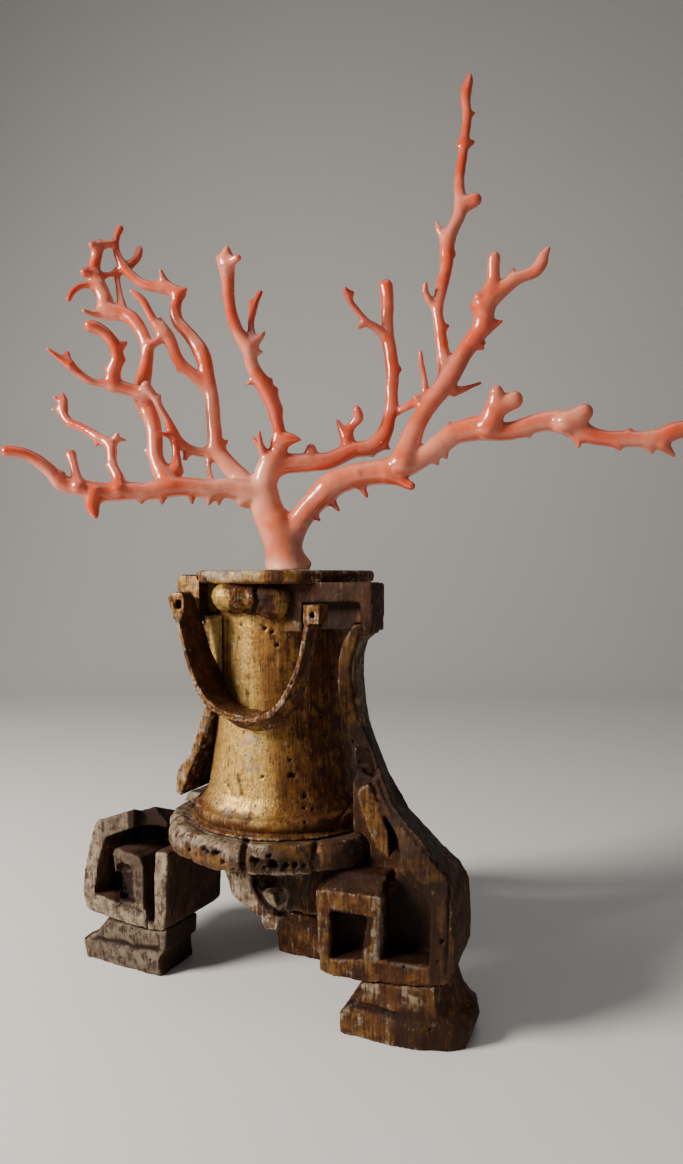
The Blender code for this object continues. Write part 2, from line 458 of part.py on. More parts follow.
def branch_spot(name, number):
    """Point, direction and radius at a place on a branch, counted in its points."""
    line = branch_points(name)
    first = min(int(number), len(line) - 2)
    (start, radius), (end, next_radius) = line[first], line[first + 1]
    share = number - first
    return start.lerp(end, share), (end - start).normalized(), radius + (next_radius - radius) * share


def depth_near(name, spot):
    """Depth of a branch where it comes nearest to a spot in the front view."""
    readings = BRANCHES[name][3]
    number = min(range(len(readings)),
                 key=lambda i: math.hypot(readings[i][0] - spot[0], readings[i][1] - spot[1]))
    return depth_along(name, number)


def finished_tip(line, ending):
    """Extra points that round or sharpen the end of a branch."""
    if ending == "cut":
        return line
    (before, _), (end, radius) = line[-2:]
    onward = (end - before).normalized()
    reach = (0.55, 0.9) if ending == "round" else (0.9, 1.7)
    return line + [(end + onward * radius * reach[0], radius * 0.72),
                   (end + onward * radius * reach[1], radius * 0.3)]


def add_spline(curve, line):
    spline = curve.splines.new("BEZIER")
    spline.bezier_points.add(len(line) - 1)
    for knot, (point, radius) in zip(spline.bezier_points, line):
        knot.co = point * MM
        knot.radius = radius
        knot.handle_left_type = "AUTO"
        knot.handle_right_type = "AUTO"


def coral_lines():
    for name, (_, _, ending, _) in BRANCHES.items():
        yield finished_tip(branch_points(name), ending)
    for name, lean, foot, tip in THORNS:
        depth = depth_near(name, foot)
        line = [(at_depth(foot[0], foot[1], depth), foot[2]),
                (at_depth(tip[0], tip[1], depth + lean), tip[2])]
        yield finished_tip(line, "round")


def coral_whole():
    """All branches as one closed skin with soft forks."""
    curve = bpy.data.curves.new("coral_lines", "CURVE")
    curve.dimensions = "3D"
    curve.bevel_depth = MM
    curve.bevel_resolution = 3
    curve.resolution_u = 4
    curve.use_fill_caps = True
    for line in coral_lines():
        add_spline(curve, line)
    lines = add_object("coral_lines", curve)
    coral = add_object("coral_whole", evaluated_mesh(lines))
    bpy.data.objects.remove(lines, do_unlink=True)
    skin = coral.modifiers.new("skin", "REMESH")
    skin.mode = "VOXEL"
    skin.voxel_size = CORAL_VOXEL * MM
    bake(coral)
    soft = coral.modifiers.new("soft forks", "SMOOTH")
    soft.factor = 0.5
    soft.iterations = 6
    bake(coral)
    coarse = coral.modifiers.new("fewer faces", "DECIMATE")
    coarse.ratio = CORAL_TRIANGLES / (2.0 * len(coral.data.polygons))
    return bake(coral)


def cut_disc(point, along, radius):
    bm = bmesh.new()
    bmesh.ops.create_cone(bm, cap_ends=True, segments=16, radius1=radius * MM, radius2=radius * MM,
                          depth=GAP * MM)
    lift = along.to_track_quat("Z", "Y").to_matrix().to_4x4()
    bmesh.ops.transform(bm, matrix=Matrix.Translation(point * MM) @ lift, verts=bm.verts)
    return from_bmesh("joint", bm)


def part_at_joints(coral):
    """Cut the coral with a thin disc at each joint."""
    for name, number, reach in CORAL_CUTS:
        point, along, radius = branch_spot(name, number)
        boolean(coral, cut_disc(point, along, radius * reach + 0.8), "DIFFERENCE")


def foot_cutter():
    """Block under the coral, up to the level where it stands on the plate."""
    return slab("under_coral", [(-40, 150), (40, 150), (40, CORAL_FOOT), (-40, CORAL_FOOT)], -40, 40)


def loose_parts(obj):
    """Bodies of an object that don't touch, each as a list of face indices."""
    mesh = obj.data
    faces_at = [[] for _ in mesh.vertices]
    for face in mesh.polygons:
        for vertex in face.vertices:
            faces_at[vertex].append(face.index)
    seen = set()
    parts = []
    for face in mesh.polygons:
        if face.index in seen:
            continue
        seen.add(face.index)
        part = []
        waiting = [face.index]
        while waiting:
            current = waiting.pop()
            part.append(current)
            for vertex in mesh.polygons[current].vertices:
                for neighbour in faces_at[vertex]:
                    if neighbour not in seen:
                        seen.add(neighbour)
                        waiting.append(neighbour)
        parts.append(part)
    return parts


def part_object(name, source, faces):
    bm = bmesh.new()
    bm.from_mesh(source.data)
    bm.faces.ensure_lookup_table()
    keep = set(faces)
    others = [face for face in bm.faces if face.index not in keep]
    bmesh.ops.delete(bm, geom=others, context="FACES")
    return from_bmesh(name, bm)


def part_holding(parts, mesh, point):
    """The part whose surface comes nearest to a point."""
    def nearest(part):
        return min((mesh.vertices[v].co - point).length for face in part
                   for v in mesh.polygons[face].vertices)
    return min(parts, key=nearest)


def make_coral():
    coral = coral_whole()
    part_at_joints(coral)
    boolean(coral, foot_cutter(), "DIFFERENCE")
    parts = loose_parts(coral)
    for name, (branch, number) in CORAL_PIECES.items():
        point = branch_points(branch)[number][0] * MM
        part_object(name, coral, part_holding(parts, coral.data, point))
    bpy.data.objects.remove(coral, do_unlink=True)


BODY_PROFILE = [
    (46.0, BODY_BOTTOM, False), (45.8, 79.9, False), (42.8, 80.9, False), (43.9, 82.4, False),
    (44.4, 84.6, False), (43.6, 86.8, False), (41.0, 88.0, False), (37.2, 94.5, False),
    (35.2, 111.0, False), (33.6, 124.0, False), (33.0, 142.0, False), (33.0, BODY_TOP, False)]
RING_PROFILE = [
    (51.0, RING_BOTTOM, True), (56.0, RING_BOTTOM, True), (57.4, 70.6, True), (57.2, 76.0, True),
    (54.8, 79.6, True), (50.4, 79.8, False), (47.2, RING_TOP, False)]
PLATE_PROFILE = [(41.5, PLATE_BOTTOM, False), (44.0, PLATE_BOTTOM + 1.2, False),
                 (44.4, PLATE_TOP - 1.6, False), (43.0, PLATE_TOP, False)]
LOBES = 11
LOBE_DEPTH = 3.2
FIRST_GROOVE = -104.8

# One lobe of the ring: place in the lobe, share of the groove's depth.
LOBE_SHAPE = [(0.0, 1.0), (0.08, 0.3), (0.26, 0.06), (0.5, 0.0), (0.74, 0.06), (0.92, 0.3)]


def grown(profile, by):
    """Profile of the room that a turned piece takes, with the gap around it and no hollows."""
    widest = max(range(len(profile)), key=lambda i: profile[i][0])
    rows = []
    for i, (radius, height, _) in enumerate(profile):
        if 0 < i < len(profile) - 1 and radius < min(profile[i - 1][0], profile[i + 1][0]):
            continue
        if i > widest:
            height += by
        elif i < widest or i == 0:
            height -= by
        rows.append((radius + by, height, False))
    return rows


def body_room():
    return turned_body("body_room", grown(BODY_PROFILE, GAP), even_turns(32))


def ring_room():
    return turned_body("ring_room", grown(RING_PROFILE, 0.5), even_turns(44))


def make_plate():
    plate = turned_body("top_plate", PLATE_PROFILE, even_turns(32))
    for vertex in plate.data.vertices:
        angle = math.atan2(vertex.co.y, vertex.co.x)
        wear = 1.0 + 0.012 * math.sin(3 * angle + 0.8) + 0.008 * math.sin(7 * angle)
        vertex.co.x *= wear
        vertex.co.y *= wear
    return plate


def make_body():
    turned_body("bell_body", BODY_PROFILE, even_turns(32))


def make_ring():
    turned_body("base_ring", RING_PROFILE, lobed_turns())


# Right leg and its copy at the back, in the leg's own direction: for each place along the
# strap, its inner and outer edge on the front as (along, height), its outer edge on the
# back, and how far out its front and back lie.
STRAP = [
    ((84.0, 31.0), (91.5, 31.0), (94.6, 34.0), 45, 9),
    ((84.0, 45.0), (92.6, 45.0), (95.0, 46.0), 45, 9),
    ((84.5, 59.0), (93.4, 60.0), (94.0, 61.0), 45, 9),
    ((78.0, 68.4), (91.5, 73.0), (89.5, 68.5), 45, 9),
    ((71.8, 76.0), (82.4, 84.8), (80.8, 76.0), 45, 10),
    ((69.4, 85.4), (73.4, 92.4), (70.9, 86.0), 42, 11),
    ((61.4, 96.0), (66.4, 98.6), (62.6, 94.0), 38, 12),
    ((54.6, 108.0), (60.2, 110.0), (57.2, 107.0), 34, 13),
    ((48.2, 119.0), (54.8, 121.0), (52.4, 120.0), 31, 14),
    ((42.8, 128.5), (50.2, 130.5), (48.8, 130.0), 31, 14),
    ((39.4, 138.0), (47.6, 138.8), (47.2, 139.0), 31, 14),
    ((38.4, 150.0), (46.2, 150.8), (46.0, 151.0), 31, 14),
    ((39.0, 160.0), (46.2, 160.6), (46.2, 161.0), 31, 14),
    ((41.0, 167.4), (48.4, 166.8), (48.2, 167.2), 31, 14),
    ((44.6, 172.6), (53.6, 171.6), (53.2, 171.6), 31, 14),
    ((45.6, 175.0), (56.0, 175.0), (55.6, 175.0), 31, 14),
]


def make_strap(name, sideways):
    rings = []
    for inner, outer, outer_back, front, back in STRAP:
        shift = (outer[0] - outer_back[0], outer[1] - outer_back[1])
        inner_back = (inner[0] - shift[0], inner[1] - shift[1])
        rings.append([
            carved_point(inner[0], front + sideways, inner[1]),
            carved_point(outer[0], front + sideways, outer[1]),
            carved_point(outer_back[0], back + sideways, outer_back[1]),
            carved_point(inner_back[0], back + sideways, inner_back[1])])
    return loft(name, rings)


RIGHT_SCROLL = [(35.2, 24.8), (45.0, 23.8), (56.0, 24.0), (71.0, 24.8), (84.0, 26.2), (91.6, 28.6),
                (94.4, 34.0),
                (94.6, 46.0), (92.0, 60.0), (84.0, 70.0), (76.0, 76.0), (68.0, 72.0), (63.2, 60.9),
                (33.4, 60.8)]
RIGHT_EYE = [(39.8, 31.0), (54.4, 33.6), (56.9, 51.9), (39.7, 52.1)]
RIGHT_CHANNEL = [(61.9, 34.0), (83.5, 34.2), (84.2, 58.8), (82.6, 63.4), (76.4, 67.4), (71.2, 72.4),
                 (69.2, 84.0), (65.0, 91.6), (60.4, 92.4), (62.2, 76.0), (63.0, 61.4)]


def scroll_roof(name, start, end, front, back):
    """Slanting top that carries the ring, behind the scroll's front edge."""
    outline = [(front - 0.6, 60.0), (front - 9.0, SPIRAL_TOP), (back + 3.0, SPIRAL_TOP), (back, 60.0)]
    return loft(name, [[carved_point(along, out, z) for out, z in outline] for along in (start, end)])


WEB = [(44.0, 84.0), (44.0, 104.0), (48.6, 110.4), (53.0, 112.0), (58.6, 106.0), (66.0, 94.0),
       (71.0, 84.0), (72.6, 74.0), (68.0, 62.0), (46.0, 61.0)]
LEAF = [(49.9, 101.1), (51.2, 104.6), (55.2, 106.6), (57.6, 101.6), (60.4, 95.5), (64.0, 87.3),
        (64.6, 75.0), (60.6, 78.0), (55.9, 84.3), (52.6, 92.7)]
LEAF_HOLLOW = [(46.6, 120.4), (54.2, 119.6), (57.4, 110.0), (54.4, 106.4), (48.8, 108.0)]


def make_scrolled_leg(name, sideways):
    """Scrolled leg: spiral block, strap up to the bracket and sunk eye and channel."""
    front = 45 + sideways
    back = 9 + sideways
    leg = slab(name, RIGHT_SCROLL, back, front)
    boolean(leg, make_strap("strap", sideways), "UNION")
    boolean(leg, scroll_roof("roof", 34.0, 62.8, front, back), "UNION")
    boolean(leg, slab("eye", RIGHT_EYE, front - 12, front + 2), "DIFFERENCE")
    boolean(leg, slab("channel", RIGHT_CHANNEL, front - 15, front + 4), "DIFFERENCE")
    boolean(leg, slab("channel_behind", RIGHT_CHANNEL, back - 4, back + 5), "DIFFERENCE")
    return leg


def settle_leg(leg, turn):
    """Turn a leg into its direction and cut it back from the ring and the body."""
    place(leg, turn)
    boolean(leg, ring_room(), "DIFFERENCE")
    boolean(leg, body_room(), "DIFFERENCE")
    return leg


def make_right_leg():
    leg = make_scrolled_leg("leg_right", 0.0)
    boolean(leg, slab("web", WEB, 14.6, 26.0), "UNION")
    boolean(leg, slab("leaf", LEAF, 24.6, 38.0), "UNION")
    boolean(leg, slab("hollow", LEAF_HOLLOW, 22.4, 45.0), "DIFFERENCE")
    return settle_leg(leg, RIGHT_LEG_TURN)


def make_back_leg():
    leg = make_scrolled_leg("leg_back", -27.0)
    root = slab("root", [(14.0, 22.0), (36.0, 23.6), (36.0, 60.0), (14.0, 60.0)], -15.5, 15.5)
    boolean(leg, root, "UNION")
    return settle_leg(leg, BACK_LEG_TURN)


# Left leg: outline on the front and, for the same points, on the back, where the top is lower.
LEFT_SCROLL = [(-97.0, 24.4), (-84.0, 22.6), (-72.0, 22.4), (-60.0, 21.6), (-46.6, 23.4),
               (-44.6, 61.4), (-44.2, 68.0), (-46.4, 74.6), (-52.0, 78.4), (-57.0, 83.6),
               (-69.4, 79.2), (-90.0, 71.8), (-92.4, 69.6), (-96.2, 59.0), (-99.4, 45.0),
               (-100.8, 35.0), (-100.4, 29.0)]
LEFT_SCROLL_BACK = [(-97.0, 24.4), (-84.0, 22.6), (-72.0, 22.4), (-60.0, 21.6), (-46.6, 23.4),
                    (-44.6, 54.0), (-44.2, 57.0), (-46.4, 60.6), (-52.0, 63.4), (-57.0, 66.6),
                    (-69.4, 63.2), (-90.0, 55.8), (-92.4, 53.6), (-96.2, 47.0), (-99.4, 38.0),
                    (-100.8, 33.0), (-100.4, 29.0)]
LEFT_CHANNEL = [(-92.8, 33.6), (-75.8, 31.4), (-76.4, 37.0), (-80.8, 56.8), (-79.6, 58.4),
                (-68.0, 58.0), (-62.4, 56.4), (-60.4, 52.4), (-60.2, 31.6), (-58.6, 30.6),
                (-58.4, 25.2), (-53.8, 25.0), (-52.8, 61.4), (-30.0, 62.0), (-30.0, 71.0),
                (-56.0, 72.0), (-68.7, 70.2), (-85.3, 63.2), (-89.6, 51.6)]
LEFT_GOUGE = [(-75.0, 33.6), (-65.4, 33.0), (-65.6, 46.0), (-68.4, 50.6), (-73.6, 52.4), (-77.8, 50.6),
              (-78.2, 46.0)]
LEFT_BREAK = [(-66.4, 66.0), (-40.0, 66.0), (-40.0, 90.0), (-65.6, 90.0)]
LEFT_STUMP = [(-74.0, 56.0), (-65.0, 67.6), (-54.6, 79.6), (-50.0, 85.6), (-38.0, 85.6), (-38.0, 56.0)]


def make_left_leg():
    """Scroll of the left foot. Its strap broke off above the ring."""
    leg = loft("leg_left", [[carved_point(u, out, z) for u, z in outline]
                            for out, outline in ((-10.0, LEFT_SCROLL_BACK), (35.8, LEFT_SCROLL))])
    boolean(leg, slab("channel", LEFT_CHANNEL, 6, 40), "DIFFERENCE")
    boolean(leg, slab("gouge", LEFT_GOUGE, 31, 40), "DIFFERENCE")
    boolean(leg, slab("break", LEFT_BREAK, 30.6, 40), "DIFFERENCE")
    boolean(leg, slab("stump", LEFT_STUMP, -7.6, 12.4), "UNION")
    place(leg, LEFT_LEG_TURN)
    boolean(leg, ring_room(), "DIFFERENCE")
    boolean(leg, body_room(), "DIFFERENCE")
    return leg


def make_pad(name, layers, turn):
    pad = stacked(name, layers)
    return place(pad, turn)


RIGHT_PAD = [
    (0.0, [(44.6, 45.0), (68.2, 46.8), (80.3, 46.4), (91.8, 43.0), (97.6, 38.4), (98.4, 24.0),
           (95.0, 15.0), (46.0, 15.0)]),
    (8.6, [(44.0, 45.6), (68.2, 47.2), (81.0, 46.8), (94.0, 43.2), (100.4, 38.0), (101.4, 24.0),
           (98.6, 14.0), (45.0, 14.0)]),
    (12.2, [(47.0, 44.4), (68.0, 45.4), (80.0, 45.0), (93.0, 42.2), (99.6, 37.4), (100.6, 24.0),
            (98.0, 15.0), (48.0, 15.0)]),
    (14.4, [(51.4, 45.2), (68.0, 45.8), (78.0, 45.6), (86.6, 44.6), (96.0, 37.0), (98.0, 24.0),
            (95.0, 15.6), (51.4, 15.4)]),
    (18.4, [(53.4, 44.4), (68.0, 44.8), (78.0, 44.8), (86.0, 44.4), (93.6, 36.8), (95.0, 24.0),
            (92.0, 15.8), (53.4, 15.2)]),
    (28.4, [(54.4, 44.8), (68.0, 45.0), (78.0, 44.9), (85.4, 44.6), (90.4, 37.0), (91.0, 24.0),
            (89.0, 15.8), (54.4, 15.0)]),
]
LEFT_PAD = [
    (0.0, [(-97.4, 10.0), (-50.4, 9.0), (-49.4, 35.6), (-97.0, 36.0), (-98.8, 34.0)]),
    (8.6, [(-99.6, 10.0), (-51.0, 9.0), (-50.2, 36.4), (-99.0, 36.8), (-101.0, 34.6)]),
    (11.4, [(-96.0, 11.0), (-50.0, 10.0), (-49.0, 34.6), (-95.6, 35.0), (-97.4, 33.2)]),
    (13.6, [(-91.0, 11.0), (-47.4, 10.0), (-46.6, 35.4), (-90.6, 35.6), (-92.4, 33.6)]),
    (24.0, [(-82.0, 11.0), (-46.6, 10.0), (-45.8, 35.8), (-81.8, 35.8), (-83.4, 33.6)]),
]
BACK_PAD = [
    (0.0, [(15.0, -11.6), (72.0, -12.0), (76.0, -7.0), (76.0, 9.0), (72.0, 13.6), (15.0, 13.0)]),
    (9.8, [(14.0, -12.6), (74.0, -13.0), (79.0, -7.0), (79.0, 9.0), (74.0, 14.6), (14.0, 14.0)]),
    (12.8, [(14.4, -11.4), (73.0, -12.0), (77.4, -7.0), (77.4, 9.0), (73.0, 13.6), (14.4, 12.8)]),
    (21.6, [(14.0, -12.0), (70.0, -12.6), (73.0, -7.0), (73.0, 9.0), (70.0, 14.0), (14.0, 13.6)]),
]


def make_block_right():
    """Capital of the right bracket, close under the top plate."""
    block = slab("block_right", [(15.0, BLOCK_BOTTOM), (24.0, BLOCK_BOTTOM), (24.6, 184.6),
                                 (53.2, 185.0), (53.2, BLOCK_BOTTOM), (58.4, BLOCK_BOTTOM),
                                 (58.8, 175.0), (58.6, BODY_TOP), (15.0, BODY_TOP)], 20.0, 30.0)
    boolean(block, slab("wall", [(16.0, 172.0), (57.6, 172.0), (57.8, BODY_TOP - 0.4),
                                 (16.0, BODY_TOP - 0.4)], 12.0, 22.0), "UNION")
    place(block, FRONT_TURN)
    return boolean(block, body_room(), "DIFFERENCE")


def make_block_left():
    block = slab("block_left", [(-43.8, 187.8), (-38.9, 188.8), (-34.6, 188.4), (-34.4, 174.4),
                                (-30.8, 174.4), (-30.6, 197.0), (-41.8, 197.2), (-43.8, 194.8)],
                 12.0, 30.0)
    boolean(block, slab("wall", [(-42.0, 177.2), (-24.4, 177.2), (-24.4, BODY_TOP - 0.4),
                                 (-42.0, BODY_TOP - 0.4)], 12.6, 22.6), "UNION")
    place(block, FRONT_TURN)
    return boolean(block, body_room(), "DIFFERENCE")


def make_block_back():
    block = slab("block_back", [(30.0, BLOCK_BOTTOM), (57.6, BLOCK_BOTTOM), (58.4, 175.0),
                                (58.2, BODY_TOP), (30.0, BODY_TOP)], -9.0, 9.0)
    place(block, BACK_LEG_TURN)
    return boolean(block, body_room(), "DIFFERENCE")


# Left bracket: outer and inner edge as (along, height) at each place down the strap.
LEFT_BRACKET = [
    ((-27.8, 178.0), (-18.8, 178.0)),
    ((-26.8, 170.0), (-18.6, 170.0)),
    ((-25.6, 162.0), (-18.4, 162.0)),
    ((-24.6, 152.0), (-18.4, 152.0)),
    ((-25.6, 144.0), (-18.8, 144.0)),
    ((-28.4, 137.0), (-22.0, 136.0)),
    ((-31.6, 128.0), (-27.4, 127.4)),
    ((-34.9, 119.2), (-30.4, 118.6)),
    ((-38.2, 109.2), (-34.4, 108.6)),
    ((-45.4, 101.4), (-38.4, 100.4)),
    ((-46.8, 90.4), (-43.2, 88.6)),
]


def make_left_bracket():
    """Upper part of the broken left strap."""
    rings = []
    for outer, inner in LEFT_BRACKET:
        rings.append([carved_point(outer[0], 27.5, outer[1]), carved_point(inner[0], 27.5, inner[1]),
                      carved_point(inner[0], 2.0, inner[1]), carved_point(outer[0], 2.0, outer[1])])
    bracket = loft("bracket_left", rings)
    place(bracket, FRONT_TURN)
    return boolean(bracket, body_room(), "DIFFERENCE")


# Hanging strap in front of the body: its inner line as (along, height) from the left end to
# the right end, the thickness at its front edge and at the ridge behind it, and how far out
# its back lies.
SWAG = [
    (-32.8, 187.6, 2.2, 3.0, 31.0), (-31.0, 182.0, 2.4, 3.0, 31.0), (-28.0, 175.0, 2.2, 3.2, 31.0),
    (-25.8, 168.0, 2.0, 3.2, 31.0), (-23.8, 161.0, 2.0, 3.2, 30.0), (-21.4, 154.4, 2.2, 3.4, 28.0),
    (-18.2, 147.6, 2.6, 3.8, 26.0), (-13.8, 141.8, 3.0, 5.0, 24.0), (-8.2, 138.0, 3.0, 7.0, 24.0),
    (-1.0, 135.6, 3.0, 8.6, 24.0), (6.0, 134.8, 3.0, 8.8, 24.0), (12.6, 135.6, 3.0, 8.2, 24.0),
    (18.4, 138.0, 3.0, 6.6, 26.0), (23.0, 142.2, 2.8, 5.0, 31.0), (26.8, 148.2, 2.6, 4.0, 35.0),
    (30.4, 155.2, 2.4, 3.2, 38.0), (33.2, 163.8, 2.2, 3.0, 39.0), (35.0, 172.0, 2.2, 3.0, 39.6),
    (35.8, 178.0, 2.4, 3.2, 39.6), (36.2, 184.4, 2.6, 3.4, 39.6),
]
SWAG_FRONT = 50.0


def swag_rings():
    line = [Vector((row[0], row[1])) for row in SWAG]
    rings = []
    for i, (_, _, edge, ridge, back) in enumerate(SWAG):
        before = line[max(0, i - 1)]
        after = line[min(len(line) - 1, i + 1)]
        along = (after - before).normalized()
        outward = Vector((along.y, -along.x))
        deep = SWAG_FRONT - back
        section = [(0.0, SWAG_FRONT), (edge, SWAG_FRONT), (edge * 0.9, SWAG_FRONT - 0.2 * deep),
                   (ridge, SWAG_FRONT - 0.4 * deep), (ridge * 0.7, SWAG_FRONT - 0.66 * deep),
                   (edge, back), (0.0, back)]
        ring = []
        for offset, out in section:
            spot = line[i] + outward * offset
            ring.append(carved_point(spot.x, out, spot.y))
        rings.append(ring)
    return rings


def ring_hook(name, outline, hole, back, front):
    hook = slab(name, outline, back, front)
    return boolean(hook, slab("hole", hole, back - 1, front + 1), "DIFFERENCE")


def make_swag():
    swag = loft("swag_front", swag_rings())
    left = ring_hook("left_hook",
                     [(-32.0, 177.4), (-27.6, 176.6), (-26.0, 180.4), (-25.8, 186.6), (-27.6, 189.0),
                      (-33.6, 189.4), (-34.0, 185.0)],
                     [(-30.8, 181.6), (-27.8, 181.4), (-27.6, 185.4), (-30.6, 185.8)], 41.0, 49.4)
    boolean(swag, left, "UNION")
    right = ring_hook("right_hook",
                      [(34.8, 176.6), (42.4, 176.2), (43.0, 184.4), (35.0, 184.5)],
                      [(37.8, 178.8), (40.4, 178.8), (40.4, 181.6), (37.8, 181.6)], 40.6, 49.6)
    boolean(swag, right, "UNION")
    place(swag, FRONT_TURN)
    boolean(swag, body_room(), "DIFFERENCE")
    return swag


def ellipsoid(name, centre, radii, segments=12, rings=7):
    bm = bmesh.new()
    bmesh.ops.create_uvsphere(bm, u_segments=segments, v_segments=rings, radius=MM)
    scale = Matrix.Diagonal((radii[0], radii[1], radii[2], 1.0))
    bmesh.ops.transform(bm, matrix=Matrix.Translation(carved_point(*centre)) @ scale, verts=bm.verts)
    return from_bmesh(name, bm)


def make_boss():
    """Worn round carving between the blocks."""
    boss = ellipsoid("boss_front", (-8.0, 31.6, 187.2), (12.6, 12.6, 8.6), 14, 8)
    boolean(boss, ellipsoid("lobe", (2.4, 28.6, 186.6), (18.0, 12.0, 9.0), 14, 8), "UNION")
    boolean(boss, ellipsoid("lobe", (10.4, 30.0, 184.4), (8.8, 8.6, 8.6), 10, 6), "UNION")
    place(boss, FRONT_TURN)
    boolean(boss, body_room(), "DIFFERENCE")
    return boss


CHEEK = [(-24.6, 66.8), (-22.8, 52.0), (-18.9, 41.2), (-12.0, 36.8), (-7.0, 36.0), (-7.4, 50.0),
         (-10.0, 66.8)]
DROP = [(-9.0, 40.0), (-6.2, 33.6), (-5.4, 27.4), (-3.0, 24.6), (2.4, 25.2), (4.6, 31.0), (9.8, 35.4),
        (15.4, 43.0), (17.2, 52.0), (18.4, 66.8), (-9.0, 66.8)]
STRAP_CURL = [(-13.0, 66.0), (-12.4, 52.0), (-9.6, 42.0), (-4.0, 36.2), (1.6, 34.4), (6.2, 36.4),
              (8.4, 41.0), (6.8, 46.0), (2.6, 48.0), (-0.6, 46.6), (-4.2, 51.0), (-5.6, 58.0),
              (-6.0, 66.0)]


def make_pendant():
    """Small carved drop under the ring, with a rolled strap on a cheek."""
    pendant = slab("pendant_front", DROP, 5.0, 14.0)
    boolean(pendant, slab("cheek", CHEEK, 4.0, 20.0), "UNION")
    boolean(pendant, slab("curl", STRAP_CURL, 10.0, 24.0), "UNION")
    place(pendant, FRONT_TURN)
    return pendant


def make_stand():
    plate = make_plate()
    make_body()
    make_ring()
    right = make_right_leg()
    left = make_left_leg()
    back = make_back_leg()
    clear_of(make_pad("foot_pad_right", RIGHT_PAD, RIGHT_LEG_TURN), right, room=0.35)
    clear_of(make_pad("foot_pad_left", LEFT_PAD, LEFT_LEG_TURN), left, room=0.35)
    make_pad("foot_pad_back", BACK_PAD, BACK_LEG_TURN)
    clear_of(back, right, left)
    block_right = make_block_right()
    block_left = make_block_left()
    block_back = make_block_back()
    clear_of(block_right, right)
    clear_of(block_left, plate)
    clear_of(block_back, back)
    bracket = make_left_bracket()
    clear_of(bracket, block_left, left)
    swag = make_swag()
    clear_of(swag, block_left, block_right, bracket, right)
    boss = make_boss()
    clear_of(boss, swag, block_right, block_left, plate)
    pendant = make_pendant()
    clear_of(pendant, right, left, back)


PAINT = {
    "top_plate": "gilt", "bell_body": "gilt", "base_ring": "gesso", "swag_front": "gilt",
    "boss_front": "gilt", "pendant_front": "gesso", "foot_pad_left": "gesso",
}


def dress():
    for obj in bpy.data.objects:
        if obj.name.startswith("coral"):
            look = "coral"
        else:
            look = PAINT.get(obj.name, "gilt_dark")
        obj.data.materials.clear()
        obj.data.materials.append(material(obj.name, look))


def centre_on_footprint():
    corners = [v.co for obj in bpy.data.objects for v in obj.data.vertices]
    low = [min(c[i] for c in corners) for i in range(3)]
    high = [max(c[i] for c in corners) for i in range(3)]
    shift = Vector((-(low[0] + high[0]) / 2, -(low[1] + high[1]) / 2, -low[2]))
    for obj in bpy.data.objects:
        obj.data.transform(Matrix.Translation(shift))


clear_scene()
make_stand()
make_coral()
dress()
centre_on_footprint()
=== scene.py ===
"""Looks of a branch of precious coral on its carved and gilded stand.

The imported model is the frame. The coral is one fine skin round the same centre lines as its CAD
solids. Each piece of the stand is a fine copy of its CAD node with worn edges, grain, chips and
insect holes. Lengths in the tables are millimetres.
"""

import math

import bmesh
import bpy
import numpy as np
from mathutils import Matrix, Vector
from mathutils.bvhtree import BVHTree


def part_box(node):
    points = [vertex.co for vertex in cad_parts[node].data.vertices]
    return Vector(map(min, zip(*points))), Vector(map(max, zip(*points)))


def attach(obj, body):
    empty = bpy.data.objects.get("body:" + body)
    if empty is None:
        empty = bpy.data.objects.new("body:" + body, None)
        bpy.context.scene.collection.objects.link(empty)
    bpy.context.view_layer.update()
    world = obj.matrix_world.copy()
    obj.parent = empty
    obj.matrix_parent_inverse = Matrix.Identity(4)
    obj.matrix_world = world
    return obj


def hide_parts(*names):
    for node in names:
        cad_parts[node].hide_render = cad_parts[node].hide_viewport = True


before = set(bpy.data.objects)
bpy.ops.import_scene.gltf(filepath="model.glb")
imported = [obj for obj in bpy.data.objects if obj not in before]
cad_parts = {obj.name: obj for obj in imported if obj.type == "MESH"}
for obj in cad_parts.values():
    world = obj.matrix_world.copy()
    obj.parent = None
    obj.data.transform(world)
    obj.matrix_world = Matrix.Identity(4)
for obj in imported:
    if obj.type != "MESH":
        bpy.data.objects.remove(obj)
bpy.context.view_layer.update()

MM = 0.001

# The photograph: 683 x 1164 pixels, focal length in pixels and the row of its horizon.
PHOTO_WIDTH = 683
PHOTO_HEIGHT = 1164
FOCAL_PIXELS = 812.0
HORIZON_ROW = 573.0
SENSOR_WIDTH = 36.0

# The upright axis of the stand's body, and the eye as seen from it.
BODY_LOW, BODY_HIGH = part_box("bell_body")
AXIS = np.array([(BODY_LOW.x + BODY_HIGH.x) / 2, (BODY_LOW.y + BODY_HIGH.y) / 2, 0.0]) / MM
EYE = np.array([28.25, -406.0, 198.0])
PLATE_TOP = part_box("top_plate")[1].z / MM

# Turns in degrees of the stand's carved front and of its right leg.
MAIN_TURN = -24
RIGHT_LEG_TURN = -19
STAND_FRONT = np.array([math.sin(math.radians(MAIN_TURN)), -math.cos(math.radians(MAIN_TURN)), 0.0])

# Coral: its CAD nodes, grid step, softness of the forks, how many times that softness a branch
# reaches, how far the blend counts, free border of the grid, a distance beyond all others, and
# the gap over the plate.
CORAL_NODES = sorted(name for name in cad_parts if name.startswith("coral_"))
CORAL_STEP = 0.81
CORAL_BLEND = 0.6
BLEND_REACH = 6
BLEND_LIMIT = 60
GRID_BORDER = 3
FAR_OFF = 1e3
FOOT_GAP = 0.05

